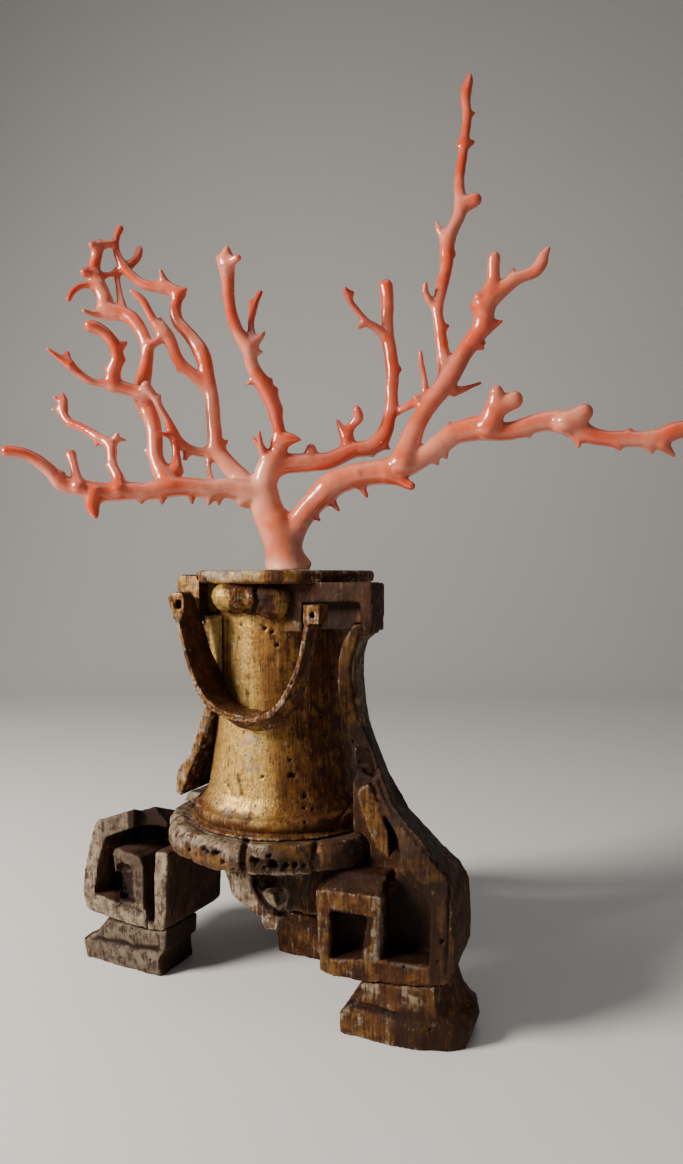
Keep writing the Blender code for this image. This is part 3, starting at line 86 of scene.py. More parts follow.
# Ends of the branches: how far past its last point a branch goes on in two steps, in radii, how
# thin these are, and how far a cut end is drawn back.
TIP_REACH = {"round": (0.35, 0.6), "point": (0.7, 1.3)}
TIP_TAPER = (0.66, 0.25)
CUT_BACK = 0.6
CURVE_STEPS = 3
THINNEST_RADIUS = 0.25

# Low waves in the coral's skin: height, size and seed, and the girths between which they grow.
CORAL_WAVES = [(0.16, 5.0, 3), (0.07, 2.3, 4)]
WAVY_GIRTHS = (0.8, 3.0)

# Rounds of smoothing, with the share of each round where it isn't a half.
CORAL_SMOOTHING = (2, 0.4)
GIRTH_ROUNDS = 12
STAND_SMOOTHING = (1, 0.35)
WIDE_ROUNDS = 8
RELIEF_ROUNDS = 2

# Pale places: the foot, by height over the plate, and where the left arm leaves the trunk, by
# distance, partly pale coral and partly a painted highlight; each with the strength of its paling.
PALE_FOOT = (9.0, 0.5)
ROOT_HIGHLIGHT_REACH = (26.0, 10.0)
ARM_ROOT = np.array([-22.0, -4.0, 238.0])
FOOT_BLEACH = 0.75
ROOT_HIGHLIGHT = 0.35

# Paint of the stand: the facings between which the front's and the seen side's shares grow, and
# how its outlines fray, in pixels.
FRONT_FACING = (0.62, 0.88)
EYE_FACING = (0.0, 0.15)
FRAY_PIXELS = 2.5
FRAY_SIZE = 5.0
FRAY_SEEDS = (71, 72)

# Worm holes and cracks: true width and depth for each millimetre of the tables, how dark the shade
# painted into them is, and the pixels between the hollows that make a crack.
HOLE_WIDTH = 0.85
HOLE_DEPTH = 2
HOLE_SHADE = 0.8
CRACK_DEPTH = 0.8
CRACK_SHADE = 0.6
CRACK_PIXELS = 0.8

# Shape of holes, of the shade painted into them and of lobes: where the slope starts and ends, in radii.
HOLE_RIM, HOLE_FLOOR = 1.25, 0.75
SHADE_RIM, SHADE_FLOOR = 1.4, 0.8
LOBE_TOP = 0.6

# Swellings: their soft border in half sizes, and the facings between which they grow.
SWELLING_BORDER = (1.0, 0.8)
SWELLING_FACING = (0.2, 0.6)

# Wear: sizes of lumps, grain and chips, what is added to a piece's seed for each, and the relief
# at which chips, ridges and hollows start and are full.
LUMP_SIZE = 7.0
SMALL_LUMP_SIZE = 2.6
SMALL_LUMP_SHARE = 0.5
GRAIN_SIZE = (1.3, 1.3, 14.0)
CHIP_SIZE = 3.4
SMALL_LUMP_SEED = 1
GRAIN_SEED = 2
CHIP_SEED = 11
CHIP_NOISE = (0.20, 0.55)
CHIP_RELIEF = (0.10, 0.35)
WORN_RELIEF = (0.05, 0.30)

# For each piece of the stand: mesh step, lumps, grain, chips, and its finish.
STAND = {
    "top_plate": (0.85, 0.16, 0.08, 0.8, "giltwood"),
    "bell_body": (0.76, 0.12, 0.07, 0.4, "giltwood"),
    "base_ring": (0.78, 0.34, 0.05, 1.0, "worn_gesso"),
    "swag_front": (0.6, 0.12, 0.06, 0.4, "giltwood"),
    "boss_front": (0.6, 0.30, 0.05, 0.6, "giltwood"),
    "block_right": (0.7, 0.14, 0.08, 0.6, "giltwood"),
    "block_left": (0.7, 0.14, 0.08, 0.5, "giltwood"),
    "block_back": (0.8, 0.14, 0.08, 0.6, "giltwood"),
    "bracket_left": (0.7, 0.14, 0.08, 0.4, "giltwood"),
    "leg_right": (0.78, 0.16, 0.12, 0.7, "giltwood"),
    "leg_left": (0.8, 0.16, 0.10, 0.7, "worn_gesso"),
    "leg_back": (1.1, 0.16, 0.12, 0.8, "giltwood"),
    "foot_pad_right": (0.8, 0.18, 0.08, 0.8, "giltwood"),
    "foot_pad_left": (0.8, 0.18, 0.08, 0.8, "worn_gesso"),
    "foot_pad_back": (0.9, 0.20, 0.08, 0.9, "giltwood"),
    "pendant_front": (0.65, 0.16, 0.05, 0.7, "worn_gesso"),
}
FIRST_SEED = 20
SEED_STEP = 10

# Finishes: name of the material, seed, and the light and dark of the bole under the gold.
FINISHES = {
    "giltwood": ("worn_gilding", 0.0, (0.080, 0.024, 0.008), (0.034, 0.010, 0.004)),
    "worn_gesso": ("bare_gesso", 9.0, (0.100, 0.054, 0.036), (0.045, 0.023, 0.016)),
}

# Colours.
DEEP_CORAL = (0.60, 0.060, 0.016)
SALMON = (0.74, 0.165, 0.075)
PALE_CORAL = (0.90, 0.42, 0.28)
# Pale coral of the foot and of the arm's root, the latter partly a painted highlight.
BLEACHED_AND_HIGHLIT_CORAL = (0.95, 0.47, 0.30)
OLD_GOLD = (0.32, 0.150, 0.032)
TARNISHED_GOLD = (0.16, 0.060, 0.013)
# Bright leaf, also used as a painted highlight.
BRIGHT_LEAF_AND_HIGHLIGHT = (0.62, 0.40, 0.115)
PALE_GESSO = (0.44, 0.345, 0.24)
STAINED_GESSO = (0.17, 0.115, 0.075)
# Near-black brown for dirt, also used for painted shade.
GRIME_AND_SHADE = (0.016, 0.006, 0.0025)
# Near black painted into holes and cracks as their shade.
PIT_SHADE_BLACK = (0.008, 0.004, 0.003)
FLOOR_COLOURS = [(0.74, 0.72, 0.69), (0.78, 0.76, 0.73)]

# Room in metres and watts: floor with its sweep into the backdrop, and for each lamp its place,
# size, power and colour.
FLOOR_FRONT, FLOOR_BACK, FLOOR_SIDE = -1.6, 0.9, 3.0
SWEEP = 0.6
SWEEP_ANGLES = np.linspace(0.1, 1.5708, 12)
BACKDROP_TOP = 3.0
ROOM_COLOUR = (0.90, 0.93, 1.0, 1.0)
ROOM_STRENGTH = 0.10
LIT_SPOT = (0.0, 0.0, 0.2)
LAMPS = {
    "key_left": ((-0.85, -0.36, 0.58), 0.35, 20.0, (1.0, 0.95, 0.87)),
    "top_soft": ((0.1, -0.2, 1.3), 0.9, 2.0, (1.0, 1.0, 1.0)),
    "fill_right": ((1.1, -0.9, 0.5), 1.0, 0.6, (1.0, 1.0, 1.0)),
}

# Each branch: depth at its first and last point, how it ends, then (x, z, radius) along it, as
# they look from the eye in the plane of the axis.
BRANCHES = {
    "trunk": (0, 0, "cut", [
        (1.6, 196, 11.4), (1.0, 201, 10.3), (0.2, 206, 9.6), (-1.2, 212, 9.2), (-2.6, 217, 9.4),
        (-4.6, 222, 9.3), (-7.6, 227, 8.3), (-9.6, 233, 7.8), (-10.6, 240, 7.0), (-9.5, 246, 6.3),
        (-7.2, 252, 6.1), (-4.6, 257, 5.2)]),
    "foot_right": (0, -2, "round", [(5, 204, 6.0), (9.5, 203.2, 3.2), (11.6, 202.6, 1.9)]),
    "foot_left": (0, -3, "round", [(-3, 203, 6.5), (-5.4, 205.5, 4.4), (-6.6, 207, 2.9)]),
    "arm_right": (0, -12, "cut", [
        (1.0, 213, 7.5), (4.4, 220, 6.6), (8.9, 226.8, 6.0), (13.6, 232.3, 5.9), (18.4, 237.2, 6.5),
        (23.4, 241.8, 6.8), (30, 245.0, 6.3), (38, 247.2, 6.2), (46, 248.3, 6.3), (54, 249.6, 6.6),
        (60.5, 251.8, 6.1), (66.5, 254.8, 5.5), (72, 258, 5.2), (78, 262.8, 5.4), (84.5, 267.2, 5.6)]),
    "arm_right_far": (-12, -30, "round", [
        (84.5, 267.2, 5.6), (90.5, 269.2, 5.9), (96, 270.4, 6.3), (101, 270.2, 5.8), (107, 268.8, 4.8),
        (114, 269.2, 4.6), (120, 271, 4.8), (126, 273, 4.9), (132, 274, 5.1), (138, 273.7, 5.8),
        (143.5, 271.6, 6.0), (149, 268.4, 5.2), (155, 266.3, 4.3), (161, 265.3, 4.0), (168, 265, 4.2),
        (175, 265, 4.0), (182, 265, 4.4), (188, 266.2, 4.5), (194, 268.8, 4.6), (200, 270.2, 4.2),
        (204, 270.6, 3.3)]),
    "knob_right": (-17, -21, "round", [
        (101, 270.5, 5.8), (103.8, 276, 5.6), (105.4, 282, 4.8), (105.8, 286.6, 4.0), (105.7, 288.6, 3.4)]),
    "knob_right_lobe": (-19, -21, "cut", [(104, 278.5, 4.6), (109, 281.6, 4.5), (114, 284.2, 4.6),
                                          (117.2, 285.6, 4.2)]),
    "knob_far": (-24, -26, "cut", [(140, 273.4, 5.8), (145.5, 275.4, 5.4), (149.4, 278.2, 4.6),
                                   (151, 280.2, 3.7)]),
    "stub_under": (-9, -13, "cut", [(51.5, 246.8, 4.4), (57.5, 244.3, 3.2), (61.5, 242.2, 2.5),
                                    (64.2, 240.9, 2.4)]),
    "stem_right": (-11, 3, "cut", [
        (58, 252.5, 6.4), (60.8, 258.5, 6.1), (62.9, 264.5, 5.4), (64.9, 270, 4.9), (67.6, 275, 4.5),
        (70.6, 279.8, 4.5), (74, 284.6, 4.7), (77.4, 289, 4.9), (80.7, 293.8, 5.0), (84.2, 299.6, 5.0),
        (87.6, 305, 4.6), (90.8, 310, 4.5)]),
    "antler": (3, -6, "cut", [
        (90.8, 310, 4.5), (94.3, 315, 4.5), (97.8, 320, 4.8), (99.3, 325, 5.0), (99.9, 330, 5.3),
        (101.2, 335, 5.0), (103.2, 340, 4.2), (104, 345, 3.4), (104.3, 351, 3.1), (104.8, 357.5, 3.2)]),
    "antler_knob": (-2, -4, "round", [(99, 331, 4.8), (97.3, 334.5, 3.4), (97, 335.8, 2.8)]),
    "antler_tip": (-2, -9, "round", [
        (102.5, 334.8, 4.8), (106.5, 338.2, 4.4), (110.6, 341.4, 3.9), (115.3, 344.7, 3.4),
        (120.3, 346.8, 3.0), (124.8, 348.7, 3.2), (127.8, 352.5, 3.3), (129.4, 356.8, 2.6),
        (131.6, 360, 1.4)]),
    "spire": (1, 20, "round", [
        (81.5, 296, 4.9), (79.9, 303, 4.1), (78.8, 309.5, 3.4), (78, 315, 3.1), (77.3, 320.5, 2.9),
        (76.4, 326, 2.9), (76.4, 331.5, 3.1), (77.4, 336.5, 3.0), (78.5, 341.5, 3.1),
        (79.9, 347.5, 3.1), (80.9, 354, 3.4), (80.8, 360, 3.6), (81.9, 366, 3.8), (84.4, 371, 3.3),
        (86.9, 376.5, 3.2), (88, 382, 3.3), (87.4, 388, 2.9), (87.1, 394.5, 2.7), (87.9, 401, 2.5),
        (89, 408, 2.5), (89.7, 415, 2.5), (90.6, 421, 2.3), (91, 427, 2.3), (90.4, 433.5, 2.5),
        (90.6, 439, 2.8), (91.8, 443.5, 2.3), (92.1, 446.2, 1.7)]),
    "spire_knob": (12, 10, "cut", [(88, 380.5, 3.4), (91.8, 382.8, 3.4), (94.6, 384.3, 3.5),
                                   (96.8, 385.2, 3.2)]),
    "mid_right": (1, 18, "cut", [
        (-8, 249.5, 6.0), (-1, 252.3, 5.3), (7, 252.9, 4.9), (15, 253.3, 4.6), (22, 254.2, 4.4),
        (28.5, 257, 4.4), (35, 259.6, 4.0), (42, 260.6, 4.2), (47.2, 264, 4.6), (50.5, 269.6, 3.8),
        (52.1, 275.5, 3.4), (53.2, 281.5, 3.5), (53.3, 289, 3.2), (53.8, 297, 3.4), (53.2, 304, 3.5),
        (52.3, 310.5, 3.5), (51.2, 317, 3.4), (51.1, 324, 3.2), (51.3, 331, 3.2), (51.1, 336.5, 3.3),
        (50.1, 343.2, 3.6)]),
    "mid_right_bump": (5, 2, "round", [(13, 255.5, 3.8), (13.1, 259.8, 2.7)]),
    "mid_right_fork": (8, 3, "round", [(32, 259, 4.4), (31.5, 264, 3.5), (31.4, 268, 3.0),
                                       (33.6, 271.8, 2.3), (36.6, 275.6, 2.8), (36, 279.6, 2.1)]),
    "mid_right_fork_b": (5, 7, "point", [(30.6, 265.5, 2.8), (28.4, 269.5, 2.0), (26.4, 274, 1.0)]),
    "mid_right_twig": (13, 2, "round", [
        (50, 316.5, 2.8), (45.5, 320.6, 2.3), (40.8, 323.6, 1.9), (36.6, 328.6, 1.7), (33, 333.2, 1.7),
        (31.2, 337.6, 1.8), (30.2, 340, 1.3)]),
    "bridge_right": (13, -3, "cut", [(53.5, 278.5, 2.4), (57.5, 279.2, 1.9), (61.5, 281.3, 2.0),
                                     (65.5, 283.6, 2.6), (71, 284, 3.4)]),
    "twig_right": (-2, -6, "cut", [(67.6, 283, 2.6), (69.7, 288, 1.8), (70, 293, 1.6), (69.2, 298, 1.5),
                                   (68.1, 303.4, 1.4), (67.7, 309, 1.3)]),
    "mid_left": (1, -22, "round", [
        (-5.8, 253, 5.6), (-3.6, 258.5, 4.5), (-2.6, 264, 3.8), (-3, 269.5, 3.1), (-4.3, 275.5, 3.4),
        (-5.5, 281, 3.9), (-8, 287, 4.1), (-11.4, 293, 4.2), (-14.7, 298, 3.7), (-16.8, 303, 3.3),
        (-17.8, 308, 3.5), (-20.1, 313, 3.7), (-23.1, 318, 3.2), (-25.5, 323.5, 2.9), (-27.2, 330, 3.0),
        (-28.1, 336.5, 3.1), (-28.4, 343, 3.3), (-28.9, 349, 3.9), (-29.2, 354, 4.2),
        (-29.1, 357.6, 2.7), (-29, 360, 1.7)]),
    "mid_left_lobe": (-21, -18, "round", [(-29, 351.5, 3.0), (-32.3, 354.8, 2.4)]),
    "mid_left_lobe_b": (-21, -25, "round", [(-28.5, 352.5, 2.8), (-23.9, 355.4, 2.0)]),
    "mid_left_twig": (-12, -3, "round", [
        (-18, 310.5, 3.4), (-16.8, 316, 2.4), (-17, 322.5, 1.7), (-16.3, 328, 2.0), (-14.8, 333, 1.7),
        (-12.5, 338, 1.5)]),
    "mid_left_thorn": (-1, -5, "point", [(-3, 263.5, 4.4), (2.2, 265, 3.2), (7.4, 264.6, 0.9)]),
    "mid_left_twin": (0, -7, "round", [(-7.6, 254, 3.2), (-10.6, 258, 2.2), (-12.1, 262, 1.7),
                                       (-12.8, 268.2, 1.0)]),
    "mid_left_twin_b": (-3, 0, "point", [(-11.3, 259.5, 1.9), (-13.8, 262.4, 1.4), (-15.8, 265.8, 0.8)]),
    "arm_left": (0, -30, "cut", [
        (-10, 236.5, 6.6), (-17, 237.8, 6.3), (-24, 239.6, 5.6), (-31, 240.2, 5.0), (-38, 239.8, 4.9),
        (-46, 241, 4.8), (-54, 241, 4.7), (-62, 240, 4.8), (-70, 238.6, 4.6), (-78, 239, 4.7),
        (-86, 238.4, 4.7), (-94, 238.6, 5.0), (-101.5, 240.5, 4.3), (-108, 241.4, 4.2), (-113, 244, 4.0),
        (-117, 248.7, 3.5), (-122, 252.9, 3.3), (-128, 256.7, 3.0), (-134, 258.5, 2.9),
        (-141.2, 259, 2.9)]),
    "arm_left_root": (0, -3, "round", [(-15, 235.5, 5.4), (-20.8, 234, 3.4)]),
    "arm_left_stub": (-19, -22, "round", [(-95, 238, 4.8), (-96.2, 232.4, 3.8), (-95.4, 228, 2.5),
                                          (-94.8, 226.4, 1.5)]),
    "arm_left_twig": (-22, -13, "cut", [(-103, 241, 3.6), (-104.5, 247.5, 2.4), (-105.9, 253, 2.4),
                                        (-107.3, 258.2, 2.8)]),
    "crook": (-17, 4, "round", [
        (-83, 240, 4.0), (-83.4, 245.5, 3.0), (-85.6, 250, 2.7), (-86.5, 255, 2.5), (-86.7, 260, 2.7),
        (-89, 263.3, 2.6), (-93.5, 265.6, 2.5), (-98, 268.8, 2.2), (-103, 271.3, 2.1),
        (-107.6, 273, 2.3), (-110.4, 276.8, 2.3), (-111, 281, 2.6), (-110.8, 284.5, 2.0),
        (-111.3, 287.4, 1.1)]),
    "crook_tip": (3, 0, "round", [(-111, 283.8, 2.0), (-115.2, 285.7, 0.9)]),
    "crook_tip_b": (2, -1, "round", [(-111, 279, 2.0), (-116, 279.9, 0.9)]),
    "crook_spur": (-6, -10, "round", [(-86.5, 261, 2.4), (-84, 266.8, 1.4)]),
    "crook_spur_b": (-8, -8, "round", [(-84.6, 264.8, 1.3), (-80.4, 264.5, 1.0)]),
    "upright": (-9, 9, "cut", [
        (-56.5, 241.5, 5.4), (-61, 247.5, 4.9), (-64, 254, 4.1), (-65, 260.5, 3.9), (-65.1, 267, 3.9),
        (-66.4, 274, 4.1), (-69, 280, 4.4), (-71.4, 285.6, 4.6), (-71.6, 291, 4.4), (-70.4, 297, 3.9),
        (-69.3, 303, 3.3), (-68.8, 309, 3.3), (-70, 315, 3.2), (-72.6, 320, 3.4), (-76, 324.6, 3.7),
        (-80.5, 327.4, 3.7)]),
    "crown_left": (9, 12, "round", [
        (-80.5, 327.4, 3.7), (-85, 328.2, 4.3), (-89.5, 329.4, 4.8), (-90, 334.5, 4.1),
        (-92.2, 340, 3.8), (-94.6, 345, 3.6), (-95.3, 350, 3.1), (-94.6, 355, 2.8), (-93.9, 359.5, 2.9),
        (-93.3, 362.3, 2.3)]),
    "crown_left_lobe": (11, 8, "round", [(-93.8, 360.5, 2.5), (-96.4, 362.1, 1.8)]),
    "crown_left_knob": (11, 7, "round", [(-94.6, 346, 3.2), (-98.2, 347.6, 2.8), (-99.9, 348.3, 2.4)]),
    "crown_left_hook": (10, 2, "round", [(-93, 341.6, 3.0), (-98, 342, 1.8), (-102.8, 341.2, 1.7),
                                         (-106.2, 338.6, 1.6), (-108.1, 334.9, 1.4)]),
    "crown_left_twig": (9, 2, "round", [(-91, 328, 3.2), (-96.3, 327.5, 1.7), (-100.4, 329.1, 1.2)]),
    "loop_top": (12, 15, "cut", [(-93, 361.8, 2.4), (-88.6, 362.4, 2.0), (-84.8, 363, 1.9)]),
    "loop_low": (11, 17, "cut", [(-93.5, 346.2, 2.3), (-88, 347.2, 1.3), (-84.6, 348.3, 1.6),
                                 (-80.5, 350, 2.2)]),
    "loop_down": (17, 10, "cut", [(-84.3, 349, 1.6), (-83.5, 342.5, 1.5), (-82.4, 336, 1.8),
                                  (-81.3, 329.5, 2.6)]),
    "lower_fork": (-7, -20, "point", [
        (-70.5, 287.5, 4.2), (-76.5, 289.2, 3.4), (-82, 291, 3.2), (-87.5, 292.6, 2.8),
        (-93, 292.9, 2.0), (-98, 294.3, 2.1), (-103, 297.8, 2.2), (-107, 301.3, 2.3),
        (-111, 304.3, 1.9), (-115, 307.2, 1.5), (-118.4, 310, 0.9)]),
    "lower_fork_stub": (-17, -15, "cut", [(-107, 301.8, 2.2), (-108.6, 305.3, 1.7), (-109, 308.4, 1.7)]),
    "lower_column": (-10, -17, "cut", [
        (-85.5, 291.5, 3.6), (-86, 298, 3.8), (-83.9, 304, 3.3), (-84.2, 309, 3.1), (-86.4, 314, 3.1),
        (-90.2, 318, 3.1), (-94.6, 320.6, 3.3), (-99.2, 321.9, 3.2)]),
    "inner": (1, 13, "cut", [
        (-13, 237, 5.6), (-19, 242, 5.3), (-24.6, 248, 4.8), (-30.2, 254, 4.5), (-34.4, 260, 4.4),
        (-35.1, 267, 3.8), (-35.7, 275, 3.6), (-36.3, 283, 3.6), (-37.5, 290, 3.6), (-38.8, 297, 3.7),
        (-40, 303, 4.0), (-42.2, 309, 4.2), (-45.3, 313.8, 3.6), (-49.2, 318.6, 3.3),
        (-53.2, 323, 3.3), (-54.8, 328.5, 3.0), (-54.2, 333.5, 2.7), (-53.8, 337.2, 3.0)]),
    "inner_link": (13, 17, "round", [
        (-52.4, 337.6, 3.0), (-57.8, 340.1, 3.2), (-62.5, 341, 3.0), (-68, 341.5, 2.6),
        (-73, 343.6, 2.5), (-77, 347, 2.5), (-80.2, 350.5, 2.5), (-82.6, 354.5, 2.1),
        (-84.2, 358.8, 1.8), (-84.5, 363.5, 1.7), (-83.6, 367.5, 1.6), (-82.5, 370, 1.9)]),
    "inner_corner": (13, 11, "point", [(-53.4, 337.8, 2.6), (-49.6, 340, 1.0)]),
    "inner_link_spur": (14, 10, "round", [(-59.5, 341.5, 2.8), (-61, 345.8, 1.7), (-62, 349, 1.1)]),
    "inner_hook": (17, 21, "round", [(-79.5, 350.2, 2.5), (-76, 353.3, 2.0), (-73.5, 356.3, 2.0),
                                     (-72.8, 359.4, 1.9)]),
    "slope": (7, 2, "round", [
        (-38.6, 290.5, 3.4), (-43, 294.6, 3.2), (-47.2, 298.2, 3.0), (-51, 301.4, 3.0),
        (-54.2, 306, 3.1), (-56, 311, 3.0), (-58.4, 315.8, 3.5), (-62, 319.6, 3.5), (-65.4, 323.6, 2.5),
        (-68, 328.6, 2.1), (-70.6, 333.4, 2.1), (-73.6, 336.8, 1.8), (-76.5, 338.7, 1.3)]),
    "slope_link": (4, 2, "cut", [(-60.0, 317.4, 2.8), (-63.8, 313.9, 2.1), (-69, 310.5, 2.3)]),
    "slope_spur": (4, 6, "point", [(-61.4, 321, 2.6), (-62.2, 325.2, 0.9)]),
    "ribbon": (-11, 4, "cut", [
        (-69.5, 291.5, 2.6), (-65.6, 286.6, 2.0), (-62, 280, 1.8), (-58.4, 274, 2.1), (-56, 268, 2.8),
        (-53, 263.4, 2.8), (-47.6, 259.7, 2.5), (-42, 258.2, 2.5), (-35.5, 258.8, 3.0)]),
    "ribbon_twig": (-4, -13, "round", [(-56.8, 266.6, 2.0), (-61, 267.5, 1.1), (-63.5, 268.4, 0.8)]),
    "ribbon_link": (-2, -7, "cut", [(-55.4, 266, 2.2), (-54.6, 260, 1.9), (-54.2, 254, 2.5),
                                    (-54.5, 247, 4.0)]),
    "ribbon_stub": (0, -2, "round", [(-48.6, 259.2, 1.9), (-49.7, 255.4, 1.4)]),
    "post": (3, -5, "cut", [(-37.6, 258, 2.2), (-38.1, 251.5, 1.4), (-37.4, 246.5, 1.5),
                            (-36.6, 241.5, 2.6)]),
}

# Branches that carry on from one another without a fork.
CARRIES_ON = {"arm_right": "arm_right_far", "stem_right": "antler", "upright": "crown_left"}

# Thorns and short twigs of each branch: how much deeper the tip lies than the foot, then x, z
# and radius of the foot and of the tip. A branch can come more than once.
THORNS = [
    ("arm_right", [(1, 13.8, 227.6, 1.8, 17.0, 224.6, 1.0), (-1, 23.8, 233.2, 2.0, 26.7, 229.5, 1.0),
        (0, 38.2, 241.2, 1.9, 40.8, 236.6, 1.1), (1, 75.2, 255.2, 1.9, 76.3, 252.2, 0.9),
        (0, 79.0, 258.6, 2.4, 80.8, 255.7, 1.0), (2, 81.6, 270.0, 1.7, 82.3, 273.2, 0.9),
        (-5, 36.0, 247.0, 2.2, 36.4, 248.4, 1.1)]),
    ("arm_right_far", [(1, 120.5, 267.8, 1.6, 122.4, 266.2, 0.9),
        (-1, 146.6, 266.0, 2.4, 146.8, 261.4, 1.0), (0, 166.0, 262.2, 2.0, 167.4, 260.2, 1.2),
        (1, 181.8, 261.8, 2.2, 183.5, 258.6, 1.2), (2, 188.5, 262.4, 3.2, 194.1, 256.9, 1.1),
        (1, 171.6, 268.0, 1.7, 172.6, 269.4, 1.1)]),
    ("stem_right", [(2, 84.6, 288.6, 2.6, 90.0, 290.0, 1.3), (4, 89.0, 289.8, 1.3, 97.2, 292.8, 1.0)]),
    ("antler", [(-1, 100.8, 320.4, 3.4, 105.2, 322.6, 1.7), (-2, 104.6, 322.4, 1.7, 108.3, 323.9, 0.9),
        (1, 97.4, 312.2, 1.7, 99.7, 312.8, 0.9), (-1, 95.4, 311.6, 1.9, 98.8, 310.4, 1.1),
        (0, 95.6, 331.0, 1.9, 93.6, 331.0, 1.3)]),
    ("antler_tip", [(1, 113.4, 346.2, 2.0, 114.4, 350.2, 0.8)]),
    ("spire", [(1, 79.4, 320.6, 2.0, 81.4, 321.6, 1.1), (-2, 74.6, 331.6, 2.2, 72.0, 334.6, 1.7),
        (-3, 72.0, 334.6, 1.7, 70.1, 338.6, 1.6), (-4, 70.1, 338.6, 1.6, 70.1, 342.0, 1.5),
        (1, 79.0, 366.2, 2.3, 76.9, 369.6, 1.4), (2, 76.9, 369.6, 1.4, 76.0, 372.9, 1.1),
        (-1, 88.0, 412.6, 1.8, 85.9, 412.0, 0.9), (0, 91.0, 412.4, 2.2, 93.8, 413.3, 1.3),
        (1, 91.6, 426.4, 1.8, 94.6, 428.0, 0.8), (0, 83.4, 358.0, 1.9, 84.0, 357.0, 1.5),
        (5, 78.4, 344.0, 2.2, 78.8, 346.0, 1.1)]),
    ("stem_right", [(-1, 67.0, 283.4, 2.6, 65.2, 286.0, 1.2)]),
    ("mid_right", [(1, 42.6, 258.6, 1.7, 44.0, 256.8, 1.0), (-1, 49.2, 261.6, 2.0, 52.0, 260.2, 0.9),
        (0, 56.0, 300.0, 2.0, 57.6, 299.6, 1.1), (5, 52.6, 290.0, 2.4, 51.8, 292.4, 1.1)]),
    ("mid_right_twig", [(-1, 39.4, 322.6, 2.0, 36.8, 320.6, 1.1),
        (0, 33.2, 337.6, 1.5, 34.0, 338.4, 0.9)]),
    ("mid_left", [(1, -15.4, 312.6, 2.6, -12.0, 316.4, 1.3), (2, -12.2, 316.2, 1.3, -10.0, 318.3, 0.7),
        (-1, -14.4, 308.2, 1.6, -12.1, 308.5, 1.2), (-1, -15.6, 294.4, 1.7, -18.6, 292.6, 0.9),
        (0, -8.6, 292.6, 2.2, -7.4, 294.0, 1.5), (0, -5.6, 288.4, 2.2, -4.4, 289.9, 1.3),
        (0, -2.4, 279.4, 1.6, -1.9, 280.8, 0.9), (5, -25.8, 324.0, 2.2, -26.4, 326.0, 1.0)]),
    ("mid_left_twig", [(0, -16.4, 331.0, 1.8, -17.2, 333.7, 1.1)]),
    ("arm_left", [(1, -33.0, 236.4, 2.4, -33.2, 232.6, 1.1), (-1, -37.2, 236.6, 2.8, -38.3, 232.6, 1.2),
        (1, -46.7, 238.0, 2.0, -46.6, 233.4, 1.2), (0, -61.2, 237.4, 2.4, -61.6, 233.0, 1.1),
        (-1, -71.4, 236.6, 2.2, -72.0, 233.2, 1.1), (5, -66.0, 240.0, 2.6, -66.6, 242.0, 1.2),
        (-1, -111.6, 246.0, 2.0, -111.2, 248.0, 1.2)]),
    ("crook", [(-1, -92.6, 264.6, 1.8, -94.2, 262.4, 1.3), (0, -87.6, 251.6, 1.5, -89.0, 251.6, 0.9)]),
    ("upright", [(-1, -67.0, 257.8, 1.8, -70.4, 259.4, 0.8), (5, -69.6, 300.0, 2.4, -69.8, 302.4, 1.1)]),
    ("ribbon", [(0, -63.6, 284.6, 1.4, -62.5, 286.6, 0.9)]),
    ("inner", [(1, -31.8, 261.8, 2.0, -29.0, 264.0, 0.9), (5, -36.0, 279.0, 2.6, -36.6, 281.4, 1.1)]),
    ("slope", [(1, -51.4, 300.6, 2.0, -53.0, 299.2, 1.3)]),
    ("lower_column", [(-1, -81.6, 311.6, 2.0, -79.4, 313.2, 1.0),
        (1, -82.0, 304.4, 1.8, -80.6, 304.6, 1.2), (0, -88.0, 299.4, 2.0, -89.6, 300.0, 1.1)]),
]

# How much leaf, bare gesso and dirt each piece of the stand has all over. On block_right, leg_right,
# foot_pad_right and leg_back the low leaf and high dirt are partly painted shade.
SHARES = {
    "top_plate": (0.15, 0.1, 0.1), "bell_body": (0.22, 0.0, 0.0), "base_ring": (0.0, 0.15, 0.35),
    "swag_front": (-0.2, 0.0, 0.0), "boss_front": (0.2, 0.0, 0.1), "block_right": (-0.4, 0.0, 0.7),
    "block_left": (-0.25, 0.0, 0.1), "block_back": (0.1, 0.1, 0.2), "bracket_left": (-0.35, 0.0, 0.1),
    "leg_right": (-0.3, 0.0, 0.55), "leg_left": (-0.40, 0.0, 0.4), "leg_back": (0.0, 0.05, 0.55),
    "foot_pad_right": (-0.25, 0.0, 0.55), "foot_pad_left": (-0.40, 0.0, 0.75),
    "foot_pad_back": (0.0, 0.1, 0.5), "pendant_front": (-0.3, 0.05, 0.2),
}
# How much more leaf and gesso there is on the faces of the carved front.
FRONTS = {
    "swag_front": (0.6, 0.35), "block_left": (1.0, 0.35), "bracket_left": (0.9, 0.10),
    "leg_left": (0.0, 0.95), "foot_pad_left": (0.1, 1.0), "leg_right": (0.20, 0.0),
    "foot_pad_right": (0.1, 0.1), "pendant_front": (0.1, 0.45),
}

# Outlines in the photograph that several patches share.
RIGHT_EYE_FRAME = [(313, 886), (384, 896), (387, 930), (382, 950), (382, 963), (362, 964), (362, 974),
                   (316, 976)]
RIGHT_EYE_FLOOR = [(331, 910), (372, 916), (372, 942), (362, 950), (362, 957), (334, 958)]
STRAP_EDGE = [(352, 634), (372, 634), (368, 690), (376, 734), (360, 726), (352, 690)]
SPLINTER = [(357, 788), (372, 786), (380, 812), (388, 834), (389, 860), (376, 846), (364, 824)]
RIGHT_PAD_TOP = [(360, 979), (434, 986), (434, 1010), (404, 1014), (356, 996)]
RIGHT_PAD_FRONT = [(340, 1004), (392, 1016), (392, 1049), (338, 1036)]
